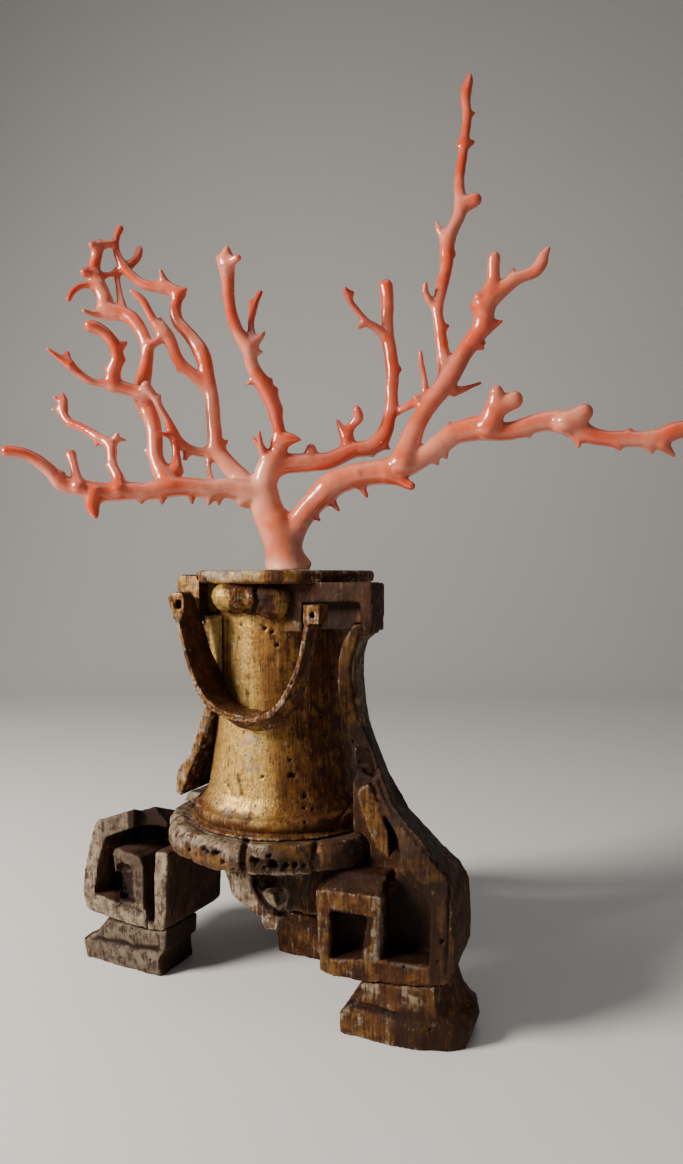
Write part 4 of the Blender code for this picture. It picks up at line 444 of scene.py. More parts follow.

# More or less leaf, gesso (pale) and dirt with painted shade, as the photograph shows them: kind, how much,
# width of the soft border and outline, in its pixels. Leaf raised on lit spots is a painted highlight; leaf
# lowered and dirt added on shaded spots are painted shade.
PATCHES = {
    # On the body, leaf raised on its lit left is a painted highlight and leaf lowered on its shaded right
    # is painted shade.
    "bell_body": [
        ("leaf", 0.75, 26, [(224, 596), (249, 600), (253, 650), (256, 700), (268, 740), (272, 800),
                            (262, 824), (215, 818), (203, 800), (212, 760), (218, 710), (226, 680)]),
        ("leaf", 0.32, 16, [(246, 606), (280, 610), (288, 660), (292, 740), (288, 800), (280, 832),
                            (250, 828), (250, 700)]),
        ("pale", 0.55, 8, [(236, 734), (266, 734), (272, 768), (242, 772)]),
        ("pale", 0.45, 8, [(216, 806), (250, 798), (264, 808), (256, 822), (226, 818)]),
        ("dirt_and_shade", 0.45, 10, [(190, 806), (262, 814), (262, 836), (196, 828)]),
        ("pale", 0.45, 6, [(230, 640), (246, 636), (252, 700), (240, 700), (230, 668)]),
        ("pale", 0.30, 6, [(194, 800), (222, 796), (240, 820), (220, 824), (198, 814)]),
        ("leaf", -0.25, 22, [(306, 590), (370, 590), (370, 850), (316, 850), (304, 720)]),
    ],
    # On the ring, less leaf and more dirt on its shaded right and over its pitted band are painted shade.
    "base_ring": [
        ("pale", 0.65, 6, [(165, 814), (192, 800), (204, 820), (240, 838), (242, 862), (222, 860),
                           (200, 846), (172, 846)]),
        ("pale", 0.75, 4, [(250, 842), (268, 843), (268, 858), (250, 857)]),
        ("pale", 0.70, 3, [(246, 872), (330, 873), (330, 881), (250, 880)]),
        ("leaf", 0.30, 6, [(268, 843), (312, 843), (312, 860), (270, 860)]),
        ("dirt_and_shade", 0.30, 8, [(262, 846), (312, 846), (312, 862), (262, 862)]),
        ("leaf", 0.50, 4, [(320, 850), (329, 848), (327, 870), (319, 870)]),
        ("leaf", 0.50, 5, [(176, 846), (200, 850), (240, 866), (240, 876), (215, 866), (186, 856)]),
        ("dirt_and_shade", 0.50, 4, [(247, 858), (276, 860), (304, 860), (306, 872), (276, 873), (248, 868)]),
        ("dirt_and_shade", 0.50, 4, [(199, 846), (222, 850), (216, 860), (200, 856)]),
        ("leaf", -0.60, 10, [(330, 836), (376, 836), (376, 886), (330, 886)]),
        ("dirt_and_shade", 0.20, 16, [(336, 836), (376, 836), (376, 886), (336, 886)]),
    ],
    # On the plate, leaf raised on its lit left rim is a painted highlight and leaf lowered on its shaded
    # right is painted shade.
    "top_plate": [
        ("pale", 0.60, 8, [(190, 562), (262, 562), (260, 580), (215, 580), (198, 576)]),
        ("leaf", 0.80, 10, [(205, 562), (266, 562), (264, 584), (210, 584)]),
        ("leaf", -0.35, 8, [(270, 568), (378, 568), (378, 592), (270, 592)]),
        ("leaf", 0.60, 4, [(282, 572), (302, 572), (300, 584), (284, 584)]),
    ],
    # On the boss, leaf on the left lobe is a painted highlight; less leaf and more dirt on the right lobe
    # are painted shade.
    "boss_front": [
        ("leaf", 0.80, 6, [(206, 584), (222, 580), (232, 598), (228, 614), (212, 608)]),
        ("pale", 0.50, 5, [(224, 588), (242, 588), (242, 610), (228, 606)]),
        ("leaf", 0.60, 4, [(276, 598), (284, 590), (288, 612), (282, 622), (276, 612)]),
        ("leaf", -0.50, 6, [(248, 580), (274, 580), (272, 624), (250, 614)]),
        ("dirt_and_shade", 0.60, 6, [(250, 580), (277, 580), (274, 624), (252, 616)]),
    ],
    # On block_right, leaf along the left edges is a painted highlight and the dark patch over the recess is
    # painted shade.
    "block_right": [
        ("leaf", 0.70, 2, [(280, 586), (289, 583), (286, 600), (285, 618), (289, 624), (301, 623),
                           (301, 633), (282, 633), (279, 616)]),
        ("pale", 0.45, 2, [(281, 620), (301, 622), (301, 633), (282, 633)]),
        ("pale", 0.35, 4, [(372, 582), (388, 582), (388, 634), (372, 634)]),
        ("pale", 1.00, 2, [(321, 611), (327, 611), (328, 629), (314, 629), (314, 623), (321, 621)]),
        ("leaf", 1.00, 2, [(351, 620), (357, 612), (361, 618), (356, 626)]),
        ("dirt_and_shade", 0.55, 10, [(306, 600), (352, 600), (352, 630), (306, 630)]),
    ],
    # On leg_right, the sunk eye, the channel, the hollow above the splinter and the web get less leaf and
    # more dirt as painted shade; leaf on the splinter is partly a painted highlight.
    "leg_right": [
        ("leaf", 0.45, 3, RIGHT_EYE_FRAME),
        ("pale", 0.30, 4, RIGHT_EYE_FRAME),
        ("pale", 0.50, 3, [(372, 900), (385, 900), (386, 948), (380, 962), (362, 962), (362, 946),
                           (372, 940)]),
        ("leaf", -1.00, 3, RIGHT_EYE_FLOOR),
        ("pale", -0.80, 3, RIGHT_EYE_FLOOR),
        ("dirt_and_shade", 0.55, 4, RIGHT_EYE_FLOOR),
        ("leaf", 0.35, 5, [(336, 636), (350, 628), (356, 640), (350, 700), (358, 730), (352, 748),
                           (342, 720), (335, 680)]),
        ("pale", 0.50, 5, STRAP_EDGE),
        ("leaf", 0.30, 5, STRAP_EDGE),
        ("leaf", 0.55, 2, SPLINTER),
        ("pale", 0.15, 2, SPLINTER),
        ("leaf", -0.40, 4, [(346, 776), (356, 786), (364, 826), (376, 848), (388, 862), (396, 880),
                            (345, 884)]),
        ("dirt_and_shade", 0.60, 5, [(350, 728), (370, 726), (384, 762), (372, 786), (346, 788)]),
        ("dirt_and_shade", 0.85, 5, [(388, 900), (408, 872), (430, 890), (431, 962), (386, 962)]),
        ("dirt_and_shade", 0.40, 6, [(318, 870), (388, 876), (388, 896), (318, 886)]),
        ("pale", 1.00, 3, [(422, 887), (436, 889), (434, 903), (428, 900)]),
        ("dirt_and_shade", 0.40, 6, [(372, 778), (392, 768), (452, 870), (450, 892), (400, 884)]),
        ("dirt_and_shade", 0.45, 4, [(428, 884), (449, 880), (449, 980), (428, 978)]),
        ("leaf", 0.25, 6, [(398, 840), (440, 872), (448, 882), (420, 884), (400, 866)]),
    ],
    "leg_left": [
        ("leaf", 0.55, 5, [(112, 854), (130, 852), (144, 864), (144, 905), (134, 902), (136, 876),
                           (116, 872)]),
        ("dirt_and_shade", 0.80, 5, [(128, 806), (160, 804), (174, 826), (170, 836), (130, 838)]),
        ("dirt_and_shade", 0.30, 8, [(96, 800), (164, 800), (174, 842), (100, 848)]),
        ("dirt_and_shade", 0.50, 4, [(110, 850), (150, 850), (150, 906), (114, 906)]),
        ("dirt_and_shade", 0.35, 4, [(115, 874), (132, 872), (132, 900), (118, 902)]),
        ("dirt_and_shade", 0.40, 8, [(170, 850), (222, 866), (222, 905), (200, 912), (170, 912)]),
        ("pale", 0.40, 4, [(86, 896), (144, 918), (146, 930), (110, 918), (86, 908)]),
        ("leaf", 0.60, 3, [(132, 914), (146, 918), (146, 930), (132, 926)]),
    ],
    # On the left pad, the dark line and its right side are painted shade.
    "foot_pad_left": [
        ("dirt_and_shade", 0.45, 3, [(92, 936), (160, 946), (158, 952), (96, 942)]),
        ("dirt_and_shade", 0.30, 8, [(166, 930), (196, 912), (196, 950), (164, 980)]),
    ],
    # On the right pad, the dark line and the right-hand part are painted shade.
    "foot_pad_right": [
        ("leaf", 0.45, 4, RIGHT_PAD_TOP),
        ("pale", 0.30, 4, RIGHT_PAD_TOP),
        ("leaf", 0.60, 2, RIGHT_PAD_FRONT),
        ("pale", 0.30, 2, RIGHT_PAD_FRONT),
        ("dirt_and_shade", 0.45, 3, [(344, 998), (400, 1012), (398, 1020), (344, 1006)]),
        ("dirt_and_shade", 0.35, 8, [(394, 1014), (440, 1000), (480, 1006), (478, 1056), (394, 1052)]),
    ],
    # On the pendant, the dark band round the curl and its right side are painted shade.
    "pendant_front": [
        ("pale", 0.45, 4, [(228, 874), (250, 878), (256, 906), (238, 904)]),
        ("pale", 0.95, 2, [(258, 875), (265, 875), (267, 888), (276, 886), (285, 888), (288, 898),
                           (286, 909), (274, 911), (264, 902), (260, 888)]),
        ("dirt_and_shade", 0.80, 2, [(252, 875), (258, 875), (261, 890), (268, 903), (280, 911), (291, 912),
                           (284, 918), (266, 913), (255, 898)]),
        ("dirt_and_shade", 0.70, 3, [(268, 876), (302, 880), (300, 906), (291, 912), (288, 890), (278, 885)]),
        ("pale", 0.35, 3, [(258, 912), (272, 914), (272, 932), (260, 930)]),
    ],
    # On block_left, the dark patch is painted shade on its right side face.
    "block_left": [("dirt_and_shade", 0.35, 5, [(200, 576), (214, 576), (212, 618), (200, 622)])],
    # On the bracket, leaf on the bar is a painted highlight and the dark strip beside it is painted shade.
    "bracket_left": [
        ("leaf", 0.45, 2, [(207, 618), (226, 618), (226, 682), (215, 682)]),
        ("pale", 0.50, 4, [(160, 700), (216, 700), (216, 800), (160, 800)]),
        ("dirt_and_shade", 0.85, 2, [(190, 606), (206, 606), (214, 690), (196, 690)]),
    ],
    # On the swag, the dark patch along the inner arm is painted shade.
    "swag_front": [("dirt_and_shade", 0.25, 8, [(178, 600), (196, 600), (216, 660), (238, 700), (214, 700)])],
}

# Worm holes: column and row in the photograph, and radius in millimetres.
HOLES = {
    "bell_body": [
        (241, 625, 0.9), (239, 639, 0.8), (265, 628, 0.9), (272, 632, 1.0), (277, 645, 1.0),
        (332, 677, 1.0), (262, 777, 0.9), (291, 775, 1.2), (294, 776, 1.0), (290, 760, 0.7),
        (225, 783, 0.6), (224, 765, 0.6), (305, 796, 0.9), (305, 822, 0.8), (313, 809, 0.8),
        (311, 724, 0.8), (324, 735, 0.7), (321, 717, 0.7), (304, 808, 0.7)],
    "swag_front": [(291, 683, 1.1), (178, 602, 1.2), (181, 605, 0.9)],
    "base_ring": [
        (173, 832, 0.8), (176, 836, 1.1), (182, 835, 1.0), (203, 848, 1.4), (207, 852, 1.2),
        (214, 853, 1.5), (218, 852, 1.0), (226, 842, 0.9), (252, 860, 1.3), (256, 862, 1.6),
        (261, 864, 1.2), (269, 856, 1.2), (272, 865, 2.2), (276, 868, 1.3), (286, 866, 1.4),
        (295, 865, 1.3), (313, 856, 0.9), (233, 870, 1.0), (190, 850, 0.9), (196, 855, 1.0),
        (222, 862, 1.1), (243, 866, 1.2), (283, 870, 0.9), (304, 866, 1.1), (265, 868, 1.0)],
    "boss_front": [(233, 599, 0.6), (241, 600, 0.5)],
    "foot_pad_left": [(132, 929, 0.7), (150, 960, 0.7), (136, 963, 0.6), (121, 958, 0.6)],
    "leg_right": [(385, 915, 0.9), (386, 933, 0.8), (442, 942, 0.9), (404, 966, 0.8), (438, 962, 0.6)],
    "foot_pad_right": [(430, 1030, 0.7), (384, 1012, 0.6)],
}

# Cracks and grooves: width in millimetres, and a line of columns and rows.
CRACKS = {
    "bell_body": [
        (0.9, [(237, 774), (240, 784), (242, 794), (244, 798)]),
        (0.8, [(228, 785), (230, 792)]),
        (1.0, [(357, 790), (350, 802), (343, 814), (336, 824), (331, 832)]),
    ],
    "leg_right": [
        (1.3, [(379, 782), (383, 793), (388, 804), (392, 812)]),
        (1.2, [(392, 812), (400, 822), (408, 832), (418, 844), (428, 856)]),
        (1.3, [(430, 856), (440, 868), (450, 878)]),
        (0.9, [(450, 878), (449, 900), (448, 940), (446, 975)]),
        (1.1, [(359, 636), (354, 652), (351, 668), (352, 684), (355, 702), (360, 722)]),
    ],
    "boss_front": [
        (1.6, [(226, 609), (234, 614), (242, 613), (248, 610)]),
        (1.8, [(259, 580), (255, 590), (257, 602), (253, 614)]),
    ],
    "foot_pad_right": [(1.0, [(352, 1000), (376, 1008), (396, 1014)])],
    "leg_left": [
        (1.2, [(180, 862), (178, 890), (172, 914)]),
        (1.2, [(193, 868), (190, 890), (184, 912)]),
        (1.2, [(208, 872), (205, 892), (200, 908)]),
        (1.2, [(120, 904), (130, 908), (142, 913), (147, 920), (147, 930)]),
    ],
    "base_ring": [
        (2.2, [(248, 838), (244, 848), (242, 860), (246, 876)]),
        (1.8, [(318, 838), (314, 848), (312, 862), (317, 882)]),
    ],
    "pendant_front": [
        (2.2, [(255, 874), (256, 886), (261, 898), (268, 907), (280, 914), (290, 914)]),
        (1.2, [(266, 880), (268, 888)]),
    ],
    "swag_front": [
        (0.9, [(212, 708), (226, 716), (242, 719), (258, 716), (272, 708)]),
    ],
}

# Low lobes: column, row, radius and height in millimetres.
LOBES = {
    "pendant_front": [(278, 899, 6.0, 2.0), (262, 882, 2.5, 1.0)],
    "boss_front": [(238, 600, 5.0, 1.2), (220, 592, 6.0, 0.8), (272, 610, 6.0, 1.0)],
}

# Places where a piece reaches closer to its neighbour than its CAD solid: turn of the piece, then
# middle, half sizes and direction as along, out and height, and how far.
SWELLINGS = {
    "bracket_left": [(MAIN_TURN, (-27.0, 14.0, 165.0), (9.0, 22.0, 24.0), (-1.0, 0.0, 0.0), 3.2)],
    "leg_right": [(RIGHT_LEG_TURN, (50.0, 12.0, 116.0), (8.0, 20.0, 15.0), (-1.0, 0.0, 0.0), 3.4)],
    "top_plate": [(MAIN_TURN, (0.0, 0.0, 194.5), (60.0, 60.0, 4.0), (0.0, 0.0, -1.0), 1.2)],
}

# Wedge that closes the pinhole where the leg's hollow reaches its outer side: turn of the leg,
# then corners as along, out and height.
WEDGES = {
    "leg_right": (RIGHT_LEG_TURN, [
        (57.3, 21.0, 108.5), (58.6, 31.0, 108.5), (53.6, 21.0, 108.5),
        (52.9, 21.0, 120.2), (54.7, 31.0, 120.2), (49.5, 21.0, 120.2)]),
}


def hashed(cells, seed):
    """Number from -1 to 1 for each whole-numbered cell."""
    cells = cells.astype(np.int64).astype(np.uint32)
    mixed = cells[:, 0] * np.uint32(374761393) + cells[:, 1] * np.uint32(668265263)
    mixed += cells[:, 2] * np.uint32(2246822519) + np.uint32(seed * 3266489917 % 4294967296)
    mixed = (mixed ^ (mixed >> np.uint32(13))) * np.uint32(1274126177)
    mixed ^= mixed >> np.uint32(16)
    return mixed.astype(np.float64) / 2147483647.5 - 1.0


def noise(points, size, seed):
    """Smooth noise from -1 to 1 that changes over about the given size, one or three numbers."""
    scaled = points / np.array(size)
    cell = np.floor(scaled)
    share = scaled - cell
    share = share * share * (3 - 2 * share)
    total = np.zeros(len(points))
    for corner in range(8):
        step = np.array([corner & 1, corner >> 1 & 1, corner >> 2 & 1])
        weight = np.prod(np.where(step, share, 1 - share), axis=1)
        total += weight * hashed(cell + step, seed)
    return total


def smoothstep(low, high, value):
    """0 at low, 1 at high and a smooth change between them. High may be the smaller one."""
    share = np.clip((value - low) / (high - low), 0, 1)
    return share * share * (3 - 2 * share)


def at_depth(x, z, depth):
    """A spot of the front view, pushed along the line of sight to a depth."""
    return EYE + (np.array([x, 0.0, z]) - EYE) * ((depth - EYE[1]) / -EYE[1])


def reading_depth(name, number):
    """Depth of a branch at one of its readings."""
    first, last, _, readings = BRANCHES[name]
    return first + (last - first) * number / (len(readings) - 1)


def branch_rows(name):
    """Centre line of a branch as rows of x, y, z and radius."""
    rows = []
    for number, (x, z, radius) in enumerate(BRANCHES[name][3]):
        depth = reading_depth(name, number)
        rows.append([*at_depth(x, z, depth), radius * (depth - EYE[1]) / -EYE[1]])
    return rows


def depth_near(name, x, z):
    """Depth of a branch at its reading nearest to a spot of the front view."""
    readings = BRANCHES[name][3]
    number = min(range(len(readings)),
                 key=lambda i: math.hypot(readings[i][0] - x, readings[i][1] - z))
    return reading_depth(name, number)


def finished_tip(rows, ending):
    """Rows with a cut, rounded or pointed end."""
    rows = np.array(rows)
    end, radius = rows[-1, :3].copy(), rows[-1, 3]
    onward = end - rows[-2, :3]
    onward /= np.linalg.norm(onward)
    if ending == "cut":
        rows[-1, :3] = end - onward * radius * CUT_BACK
        return rows
    tip = [[*(end + onward * radius * reach), radius * taper]
           for reach, taper in zip(TIP_REACH[ending], TIP_TAPER)]
    return np.vstack([rows, tip])


def smooth_rows(rows):
    """More rows, on a smooth curve through the given ones."""
    padded = np.vstack([2 * rows[0] - rows[1], rows, 2 * rows[-1] - rows[-2]])
    finer = []
    for a, b, c, d in zip(padded, padded[1:], padded[2:], padded[3:]):
        for t in np.arange(CURVE_STEPS) / CURVE_STEPS:
            finer.append(0.5 * (2 * b + (c - a) * t + (2 * a - 5 * b + 4 * c - d) * t ** 2
                                + (3 * b - a - 3 * c + d) * t ** 3))
    finer.append(rows[-1])
    finer = np.array(finer)
    finer[:, 3] = np.maximum(finer[:, 3], THINNEST_RADIUS)
    return finer


def coral_lines():
    """Centre lines of all branches and thorns, as smooth rows of x, y, z and radius."""
    lines = []
    followers = set(CARRIES_ON.values())
    for name, (_, _, ending, _) in BRANCHES.items():
        if name in followers:
            continue
        rows = branch_rows(name)
        if name in CARRIES_ON:
            follower = CARRIES_ON[name]
            rows += branch_rows(follower)[1:]
            ending = BRANCHES[follower][2]
        lines.append(smooth_rows(finished_tip(rows, ending)))
    for name, thorns in THORNS:
        for lean, foot_x, foot_z, foot_radius, tip_x, tip_z, tip_radius in thorns:
            depth = depth_near(name, foot_x, foot_z)
            rows = [[*at_depth(foot_x, foot_z, depth), foot_radius],
                    [*at_depth(tip_x, tip_z, depth + lean), tip_radius]]
            lines.append(smooth_rows(finished_tip(rows, "round")))
    return lines


def cone_distance(points, start, end):
    """Distance of points from the skin of a cone between two rows, and its radius beside them."""
    along = end[:3] - start[:3]
    share = np.clip((points - start[:3]) @ along / max(along @ along, 1e-9), 0, 1)
    radius = start[3] + share * (end[3] - start[3])
    away = np.linalg.norm(points - start[:3] - share[:, None] * along, axis=1)
    return away - radius, radius


def grid_span(rows, low):
    """First grid cell and the one after the last that a run of rows and its blend can reach."""
    margin = BLEND_REACH * CORAL_BLEND
    near = (rows[:, :3] - rows[:, 3:]).min(0) - margin
    far = (rows[:, :3] + rows[:, 3:]).max(0) + margin
    return (np.floor((near - low) / CORAL_STEP).astype(int),
            np.ceil((far - low) / CORAL_STEP).astype(int) + 1)


def branch_distances(rows, first, last, low):
    """Distances from one branch's skin and its radii, for the grid cells from first to last."""
    distances = np.full(last - first, FAR_OFF, np.float32)
    radii = np.zeros(last - first, np.float32)
    for start, end in zip(rows, rows[1:]):
        near, far = grid_span(np.array([start, end]), low)
        near = np.maximum(near, first) - first
        far = np.minimum(far, last) - first
        box = tuple(slice(a, b) for a, b in zip(near, far))
        axes = [low[i] + (first[i] + np.arange(near[i], far[i])) * CORAL_STEP for i in range(3)]
        points = np.stack(np.meshgrid(*axes, indexing="ij"), -1).reshape(-1, 3)
        distance, radius = cone_distance(points, start, end)
        distance = distance.reshape(far - near)
        closer = distance < distances[box]
        distances[box] = np.where(closer, distance, distances[box])
        radii[box] = np.where(closer, radius.reshape(far - near), radii[box])
    return distances, radii


def coral_field(lines):
    """Grid of distances from the coral's skin with soft forks, of branch radii, and its corner."""
    every = np.vstack(lines)
    low = np.floor((every[:, :3] - every[:, 3:]).min(0) - GRID_BORDER)
    high = np.ceil((every[:, :3] + every[:, 3:]).max(0) + GRID_BORDER)
    counts = ((high - low) / CORAL_STEP).astype(int) + 1
    blended = np.zeros(counts, np.float32)
    nearest = np.full(counts, FAR_OFF, np.float32)
    girth = np.zeros(counts, np.float32)
    for rows in lines:
        first, last = grid_span(rows, low)
        first = np.maximum(first, 0)
        last = np.minimum(last, counts)
        distances, radii = branch_distances(rows, first, last, low)
        box = tuple(slice(a, b) for a, b in zip(first, last))
        blended[box] += np.exp(-np.minimum(distances, BLEND_LIMIT) / CORAL_BLEND)
        closer = distances < nearest[box]
        nearest[box] = np.where(closer, distances, nearest[box])
        girth[box] = np.where(closer, radii, girth[box])
    field = -CORAL_BLEND * np.log(blended + 1e-12)
    heights = low[2] + np.arange(counts[2]) * CORAL_STEP
    field = np.maximum(field, (PLATE_TOP + FOOT_GAP - heights)[None, None, :])
    return field.astype(np.float32), girth, low


def skin_points(field, low, step):
    """Vertex in each grid cell that the zero surface crosses, and the cells."""
    inside = field < 0
    shape = np.array(field.shape)
    corners = [(i >> 2 & 1, i >> 1 & 1, i & 1) for i in range(8)]
    count = np.zeros(shape - 1, np.uint8)
    for corner in corners:
        count += inside[tuple(slice(c, n - 1 + c) for c, n in zip(corner, shape))]
    cells = np.argwhere((count > 0) & (count < 8))
    values = np.stack([field[tuple((cells + corner).T)] for corner in corners], 1)
    total = np.zeros((len(cells), 3))
    hits = np.zeros(len(cells))
    for a in range(8):
        for b in range(a + 1, 8):
            start, end = np.array(corners[a]), np.array(corners[b])
            if np.abs(end - start).sum() != 1:
                continue
            crosses = (values[:, a] < 0) != (values[:, b] < 0)
            share = values[crosses, a] / (values[crosses, a] - values[crosses, b])
            total[crosses] += start + share[:, None] * (end - start)
            hits[crosses] += 1
    return low + step * (cells + total / hits[:, None]), cells


def skin_quads(field, cells):
    """Quads between the vertices of the cells round each grid edge that the surface crosses."""
    inside = field < 0
    shape = np.array(field.shape)
    number = np.full(shape - 1, -1, np.int64)
    number[tuple(cells.T)] = np.arange(len(cells))
    quads = []
    for axis in range(3):
        one = np.eye(3, dtype=int)[axis]
        side = np.eye(3, dtype=int)[(axis + 1) % 3]
        up = np.eye(3, dtype=int)[(axis + 2) % 3]
        here = inside[tuple(slice(0, n - o) for n, o in zip(shape, one))]
        there = inside[tuple(slice(o, n) for n, o in zip(shape, one))]
        edges = np.argwhere(here != there)
        leaving = here[tuple(edges.T)]
        ring = [edges - side - up, edges - up, edges, edges - side]
        faces = np.stack([number[tuple(cell.T)] for cell in ring], 1)
        faces[~leaving] = faces[~leaving][:, ::-1]
        quads.append(faces)
    return np.vstack(quads)


def add_object(name, mesh):
    """Object in the scene for a mesh or other data."""
    made = bpy.data.objects.new(name, mesh)
    bpy.context.scene.collection.objects.link(made)
    return made


def mesh_points(mesh):
    """Vertices in millimetres about the stand's axis."""
    flat = np.zeros(len(mesh.vertices) * 3, np.float32)
    mesh.vertices.foreach_get("co", flat)
    return flat.reshape(-1, 3).astype(np.float64) / MM - AXIS


def set_points(mesh, points):
    mesh.vertices.foreach_set("co", ((points + AXIS) * MM).astype(np.float32).ravel())
    mesh.update()


def mesh_normals(mesh):
    flat = np.zeros(len(mesh.vertices) * 3, np.float32)
    mesh.vertex_normals.foreach_get("vector", flat)
    return flat.reshape(-1, 3).astype(np.float64)


def mesh_edges(mesh):
    flat = np.zeros(len(mesh.edges) * 2, np.int32)
    mesh.edges.foreach_get("vertices", flat)
    return flat.reshape(-1, 2)


def neighbour_mean(edges, values):
    """Mean of each vertex's neighbours."""
    ends = np.concatenate([edges[:, 0], edges[:, 1]])
    others = np.concatenate([edges[:, 1], edges[:, 0]])
    count = np.bincount(ends, minlength=len(values))
    columns = [np.bincount(ends, values[others, i], len(values)) for i in range(values.shape[1])]
    return np.stack(columns, 1) / np.maximum(count, 1)[:, None]


def smoothed(edges, values, times, share=0.5):
    """Values drawn towards the mean of their neighbours."""
    for _ in range(times):
        values = values + share * (neighbour_mean(edges, values) - values)
    return values


def store(mesh, name, values):
    """Keep one number for each vertex, for the materials to read."""
    layer = mesh.attributes.new(name, "FLOAT", "POINT")
    layer.data.foreach_set("value", np.asarray(values, np.float32))


def make_coral():
    """One fine skin over all branches and thorns."""
    field, girth, low = coral_field(coral_lines())
    points, cells = skin_points(field, low, CORAL_STEP)
    mesh = bpy.data.meshes.new("coral")
    mesh.from_pydata(((points + AXIS) * MM).tolist(), [], skin_quads(field, cells).tolist())
    mesh.shade_smooth()
    edges = mesh_edges(mesh)
    points = smoothed(edges, points, *CORAL_SMOOTHING)
    thickness = girth[tuple(cells.T)][:, None].astype(np.float64)
    thickness = smoothed(edges, thickness, GIRTH_ROUNDS)[:, 0]
    set_points(mesh, points)
    normals = mesh_normals(mesh)
    swell = sum(height * noise(points, size, seed) for height, size, seed in CORAL_WAVES)
    swell *= smoothstep(*WAVY_GIRTHS, thickness)
    points = points + normals * swell[:, None]
    # Nothing stands proud of the box of the CAD coral.
    boxes = [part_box(node) for node in CORAL_NODES]
    low = np.min([np.array(box[0]) for box in boxes], 0) / MM - AXIS
    high = np.max([np.array(box[1]) for box in boxes], 0) / MM - AXIS
    points = np.clip(points, low, high)
    set_points(mesh, points)
    foot = smoothstep(*PALE_FOOT, points[:, 2] - PLATE_TOP)
    # Pale where the left arm leaves the trunk: partly pale coral, partly a painted highlight.
    root = smoothstep(*ROOT_HIGHLIGHT_REACH, np.linalg.norm(points - ARM_ROOT, axis=1))
    store(mesh, "girth", thickness)
    store(mesh, "bleached_and_highlit", np.maximum(FOOT_BLEACH * foot, ROOT_HIGHLIGHT * root))
    return add_object("coral", mesh)


def stand_spot(along, out, height, turn):
    """Point of a piece with the given turn in degrees, from its along, out and height."""
    turn = math.radians(turn)
    across = np.array([math.cos(turn), math.sin(turn), 0.0])
    forward = np.array([math.sin(turn), -math.cos(turn), 0.0])
    return along * across + out * forward + np.array([0.0, 0.0, height])


def fine_copy(node, step):
    """Evenly meshed copy of a CAD node, with its wedge if it has one."""
    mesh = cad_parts[node].data.copy()
    bm = bmesh.new()
    bm.from_mesh(mesh)
    bmesh.ops.remove_doubles(bm, verts=bm.verts, dist=1e-6)
    if node in WEDGES:
        turn, corners = WEDGES[node]
        spots = [(stand_spot(*corner, turn) + AXIS) * MM for corner in corners]
        bmesh.ops.convex_hull(bm, input=[bm.verts.new(spot) for spot in spots])
    bm.to_mesh(mesh)
    bm.free()
    copy = add_object(node + "_carved", mesh)
    even = copy.modifiers.new("even", "REMESH")
    even.mode = "VOXEL"
    even.voxel_size = step * MM
    graph = bpy.context.evaluated_depsgraph_get()
    fine = bpy.data.meshes.new_from_object(copy.evaluated_get(graph))
    copy.modifiers.clear()
    copy.data = fine
    fine.shade_smooth()
    return copy


def photo_spots(points):
    """Columns and rows at which points show in the photograph."""
    away = points - EYE
    columns = PHOTO_WIDTH / 2 + FOCAL_PIXELS * away[:, 0] / away[:, 1]
    rows = HORIZON_ROW - FOCAL_PIXELS * away[:, 2] / away[:, 1]
    return np.stack([columns, rows], 1)


def sight_line(column, row):
    """Direction in which the eye looks at a spot of the photograph."""
    return np.array([(column - PHOTO_WIDTH / 2) / FOCAL_PIXELS, 1.0, (HORIZON_ROW - row) / FOCAL_PIXELS])


def inside_share(spots, outline, soft):
    """1 inside an outline, 0 outside, with a soft border of the given width in pixels."""
    outline = np.array(outline, float)
    nearest = np.full(len(spots), np.inf)
    inside = np.zeros(len(spots), bool)
    for start, end in zip(outline, np.roll(outline, -1, 0)):
        along = end - start
        share = np.clip((spots - start) @ along / (along @ along), 0, 1)
        away = spots - start - share[:, None] * along
        nearest = np.minimum(nearest, (away ** 2).sum(1))
        crossing = (start[1] > spots[:, 1]) != (end[1] > spots[:, 1])
        if along[1] != 0:
            column = start[0] + (spots[:, 1] - start[1]) * along[0] / along[1]
            inside ^= crossing & (spots[:, 0] < column)
    distance = np.sqrt(nearest) * np.where(inside, 1, -1)
    return smoothstep(-0.5 * soft, 0.5 * soft, distance)


def paint(node, points, normals):
    """How much leaf, bare gesso (pale) and dirt there is at each vertex of a piece, painted highlights and
    painted shade included.
    """
    leaf, pale, overall_dirt_and_shade = SHARES[node]
    front_leaf, front_pale = FRONTS.get(node, (0.0, 0.0))
    front = smoothstep(*FRONT_FACING, normals @ STAND_FRONT)
    shares = {"leaf": leaf + front_leaf * front, "pale": pale + front_pale * front,
              "dirt_and_shade": np.full(len(points), overall_dirt_and_shade)}
    towards = EYE - points
    facing = (normals * towards).sum(1) / np.linalg.norm(towards, axis=1)
    seen = smoothstep(*EYE_FACING, facing)
    fray = np.stack([noise(points, FRAY_SIZE, seed) for seed in FRAY_SEEDS], 1)
    frayed = photo_spots(points) + FRAY_PIXELS * fray
    for kind, strength, soft, outline in PATCHES.get(node, ()):
        shares[kind] = shares[kind] + strength * seen * inside_share(frayed, outline, soft)
    return shares


def crack_spots(width, line):
    """Small hollows that follow a crack."""
    for start, end in zip(line, line[1:]):
        length = math.hypot(end[0] - start[0], end[1] - start[1])
        steps = max(2, int(length / CRACK_PIXELS))
        for share in np.arange(steps) / steps:
            column = start[0] + share * (end[0] - start[0])
            row = start[1] + share * (end[1] - start[1])
            yield column, row, width / 2, CRACK_DEPTH * width, CRACK_SHADE


